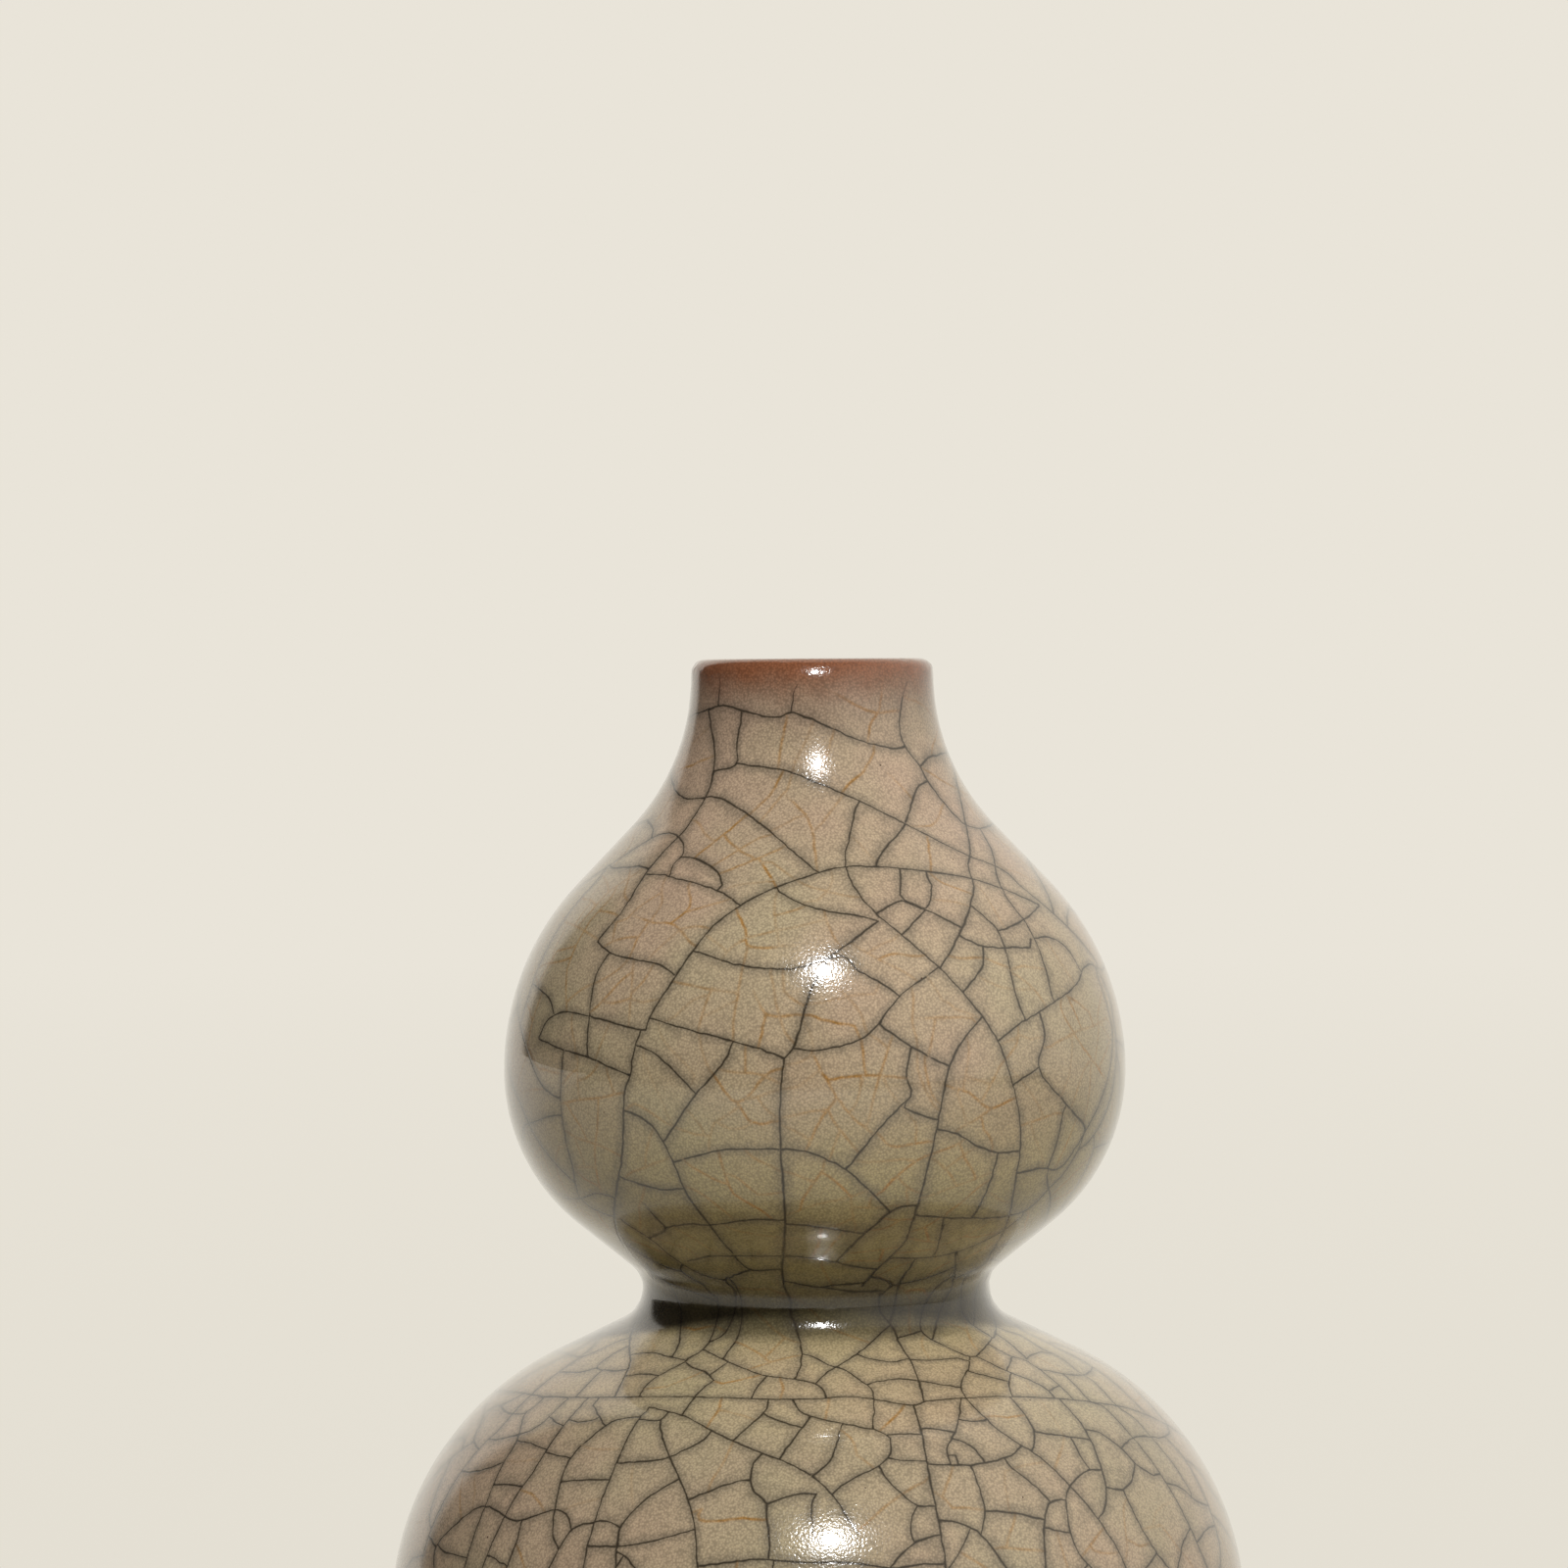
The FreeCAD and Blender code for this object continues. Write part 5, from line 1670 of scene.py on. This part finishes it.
linerGlaze = buildPlainGlaze("liner glaze poured in and gloss fired", innerFinish)
innerSkin = latheMesh("innerGlazeLiner", linerProfile(liner), liner["columns"], liner["sharpEdge"])
ringInputs = {
    "Pitch": liner["ringPitch"] * mm, "Depth": liner["ringDepth"] * mm, "Twist": liner["ringTwist"],
    "Top": liner["ringTop"] * mm, "Finish": linerGlaze,
}
throughNodes(innerSkin, ringNodes(liner, ringInputs), ringInputs)
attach(innerSkin, "root")
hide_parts("inner_glaze")
print("inner glaze turned,", len(innerSkin.data.polygons), "faces")


# Iron specks that bled through the glaze, sown over the outside
specks = {
    "perSquareMetre": 1100.0, "seed": 11, "radius": 0.16, "spread": 0.62, "flatness": 0.22, "sink": 0.02,
    "segments": 8, "rings": 5, "bellyClear": 4.0, "lowest": 10.0, "lipClear": 7.0,
}


def speckNodes(look, inputs):
    tree, given, out = newGeometryTree("ironSpecks", inputs)
    place = addNode(tree, "GeometryNodeInputPosition")
    split = addNode(tree, "SeparateXYZ", {"Vector": place})
    normal = addNode(tree, "GeometryNodeInputNormal")
    outward = addNode(tree, "VectorMath", {0: place, 1: normal}, operation="DOT_PRODUCT")
    keep = addNode(tree, "FunctionNodeCompare", {0: outward, 1: 0.0}, operation="GREATER_THAN")
    # never at the two widest rings, so that no speck stands outside the vase's own size
    for middle, reach in (
            (gourdShape["lowerBellyHeight"], look["bellyClear"]), (0, look["lowest"]),
            (gourdShape["upperBellyHeight"], look["bellyClear"]), (gourdShape["rim"], look["lipClear"])):
        near = addNode(tree, "FunctionNodeCompare", {
            0: split.outputs["Z"], 1: middle * mm, "Epsilon": reach * mm
        }, operation="EQUAL")
        far = addNode(tree, "FunctionNodeBooleanMath", {0: near}, operation="NOT")
        keep = addNode(tree, "FunctionNodeBooleanMath", {0: keep, 1: far}, operation="AND")
    sown = addNode(tree, "GeometryNodeDistributePointsOnFaces", {
        "Mesh": given.outputs["Geometry"], "Selection": keep, "Density": given.outputs["Density"],
        "Seed": given.outputs["Seed"]
    })
    bead = addNode(tree, "GeometryNodeMeshUVSphere", {
        "Radius": given.outputs["Radius"], "Segments": look["segments"], "Rings": look["rings"]
    })
    flat = addNode(tree, "GeometryNodeTransform", {
        "Geometry": bead, "Scale": (1, 1, look["flatness"]), "Translation": (0, 0, -look["sink"] * mm)
    })
    size = addNode(tree, "FunctionNodeRandomValue", {
        "Seed": given.outputs["Seed"], 2: 1 - look["spread"], 3: 1 + look["spread"]
    }, data_type="FLOAT")
    placed = addNode(tree, "GeometryNodeInstanceOnPoints", {
        "Points": sown, "Instance": flat, "Rotation": sown.outputs["Rotation"], "Scale": size
    })
    real = addNode(tree, "GeometryNodeRealizeInstances", {"Geometry": placed})
    smooth = addNode(tree, "GeometryNodeSetShadeSmooth", {"Geometry": real})
    painted = addNode(tree, "GeometryNodeSetMaterial", {
        "Geometry": smooth, "Material": given.outputs["Finish"]
    })
    feed(tree, out, {"Geometry": painted})
    return tree


speckFinish = {
    "name": "iron speck bled through the glaze", "pale": "#5A3F2A", "deep": "#33261D", "grain": 0.2,
    "roughness": 0.16, "roughSpread": 0.1,
}


def twoToneMaterial(look):
    # fine grain between two colours, with roughness that follows it
    material, tree = newMaterial(look["name"])
    coord = addNode(tree, "TexCoord").outputs["Object"]
    grain = addNode(tree, "TexNoise", {"Vector": coord, "Scale": perMetre(look["grain"]), "Detail": 3.0})
    colour = addNode(tree, "Mix", {
        "Factor": grain, "A": hexColour(look["deep"]), "B": hexColour(look["pale"])
    }, data_type="RGBA")
    gloss = addNode(tree, "MapRange", {
        "Value": grain, "To Min": look["roughness"], "To Max": look["roughness"] + look["roughSpread"]
    })
    shader = addNode(tree, "BsdfPrincipled", {"Base Color": colour, "Roughness": gloss})
    addNode(tree, "OutputMaterial", {"Surface": shader})
    return material, tree, coord, shader


# Iron speck, bled through and glossed over: a tiny dark brown bead
speckMaterial = twoToneMaterial(speckFinish)[0]
speckField = bpy.data.objects.new("glazeIronSpecks", glaze.data.copy())
bpy.context.scene.collection.objects.link(speckField)
speckField.data.materials.clear()
speckInputs = {
    "Density": specks["perSquareMetre"], "Seed": specks["seed"], "Radius": specks["radius"] * mm,
    "Finish": speckMaterial,
}
throughNodes(speckField, speckNodes(specks, speckInputs), speckInputs)
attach(speckField, "root")
print("specks sown,", len(speckField.data.polygons), "faces")


# The foot and the clay under the glaze, on the CAD solids themselves
clayFinishes = {
    # Bare stoneware fired dark: iron brown, dry, with sand grains and the turning tool's fine rings
    "foot": {
        "name": "bare stoneware foot trimmed and fired dark", "pale": "#6B5140", "deep": "#3D2D24",
        "grain": 0.7, "blotch": 9.0, "roughness": 0.62, "roughSpread": 0.22, "depth": 0.08,
        "ringPitch": 0.9, "ringDepth": 0.02, "pieces": ["foot_ring"]},
    # Thrown stoneware body: buff grey clay with fine grog and the thrower's ridges
    "body": {
        "name": "stoneware body thrown and biscuit fired", "pale": "#A2917B", "deep": "#7E6E5B",
        "grain": 0.8, "blotch": 12.0, "roughness": 0.7, "roughSpread": 0.2, "depth": 0.06,
        "ringPitch": 3.0, "ringDepth": 0.05,
        "pieces": ["lower_bowl", "lower_dome", "upper_bowl", "upper_dome", "neck"]},
    # Joining slip: the same clay as a smooth cream, a little darker, brushed into the scored joint
    "slip": {
        "name": "joining slip brushed into the scored joint", "pale": "#8F7D68", "deep": "#6E5E4D",
        "grain": 0.4, "blotch": 4.0, "roughness": 0.78, "roughSpread": 0.15, "depth": 0.03,
        "ringPitch": 0.7, "ringDepth": 0.03,
        "pieces": ["foot_lute", "lower_belly_lute", "waist_lute", "upper_belly_lute", "neck_lute"]},
}
leastPale = 0.2    # share of the pale colour in the clay's darkest grains


def buildClay(look):
    material, tree, coord, shader = twoToneMaterial(look)
    sand = addNode(tree, "TexVoronoi", {"Vector": coord, "Scale": perMetre(look["grain"])})
    sandy = addNode(tree, "Bump", {"Height": sand, "Strength": 1.0, "Distance": look["depth"] * mm})
    blotch = addNode(tree, "TexNoise", {"Vector": coord, "Scale": perMetre(look["blotch"]), "Detail": 4.0})
    speckled = addNode(tree, "Math", {
        0: blotch, 1: sand, 2: leastPale
    }, operation="MULTIPLY_ADD", use_clamp=True)
    colour = addNode(tree, "Mix", {
        "Factor": speckled, "A": hexColour(look["deep"]), "B": hexColour(look["pale"])
    }, data_type="RGBA")
    # turning marks: fine rings about the axis
    split = addNode(tree, "SeparateXYZ", {"Vector": coord})
    flat = addNode(tree, "CombineXYZ", {"X": split.outputs["X"], "Y": split.outputs["Y"]})
    radius = addNode(tree, "VectorMath", {0: flat}, operation="LENGTH")
    run = addNode(tree, "Math", {0: radius, 1: split.outputs["Z"]}, operation="ADD")
    phase = addNode(tree, "Math", {
        0: run, 1: 2 * math.pi * perMetre(look["ringPitch"])
    }, operation="MULTIPLY")
    rings = addNode(tree, "Math", {0: phase}, operation="SINE")
    relief = addNode(tree, "Bump", {
        "Height": rings, "Normal": sandy, "Strength": 1.0, "Distance": look["ringDepth"] * mm
    })
    feed(tree, shader, {"Base Color": colour, "Normal": relief})
    return material


def dress(pieces, material):
    for piece in pieces:
        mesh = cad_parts[piece].data
        mesh.materials.clear()
        mesh.materials.append(material)


for look in clayFinishes.values():
    dress(look["pieces"], buildClay(look))
# Glaze under the base, wiped back at the foot: the same glaze, smaller crackle
dress(["base_glaze"], buildPlainGlaze("base glaze wiped back and gloss fired", baseFinish))
print("clay, slip and base glaze dressed")
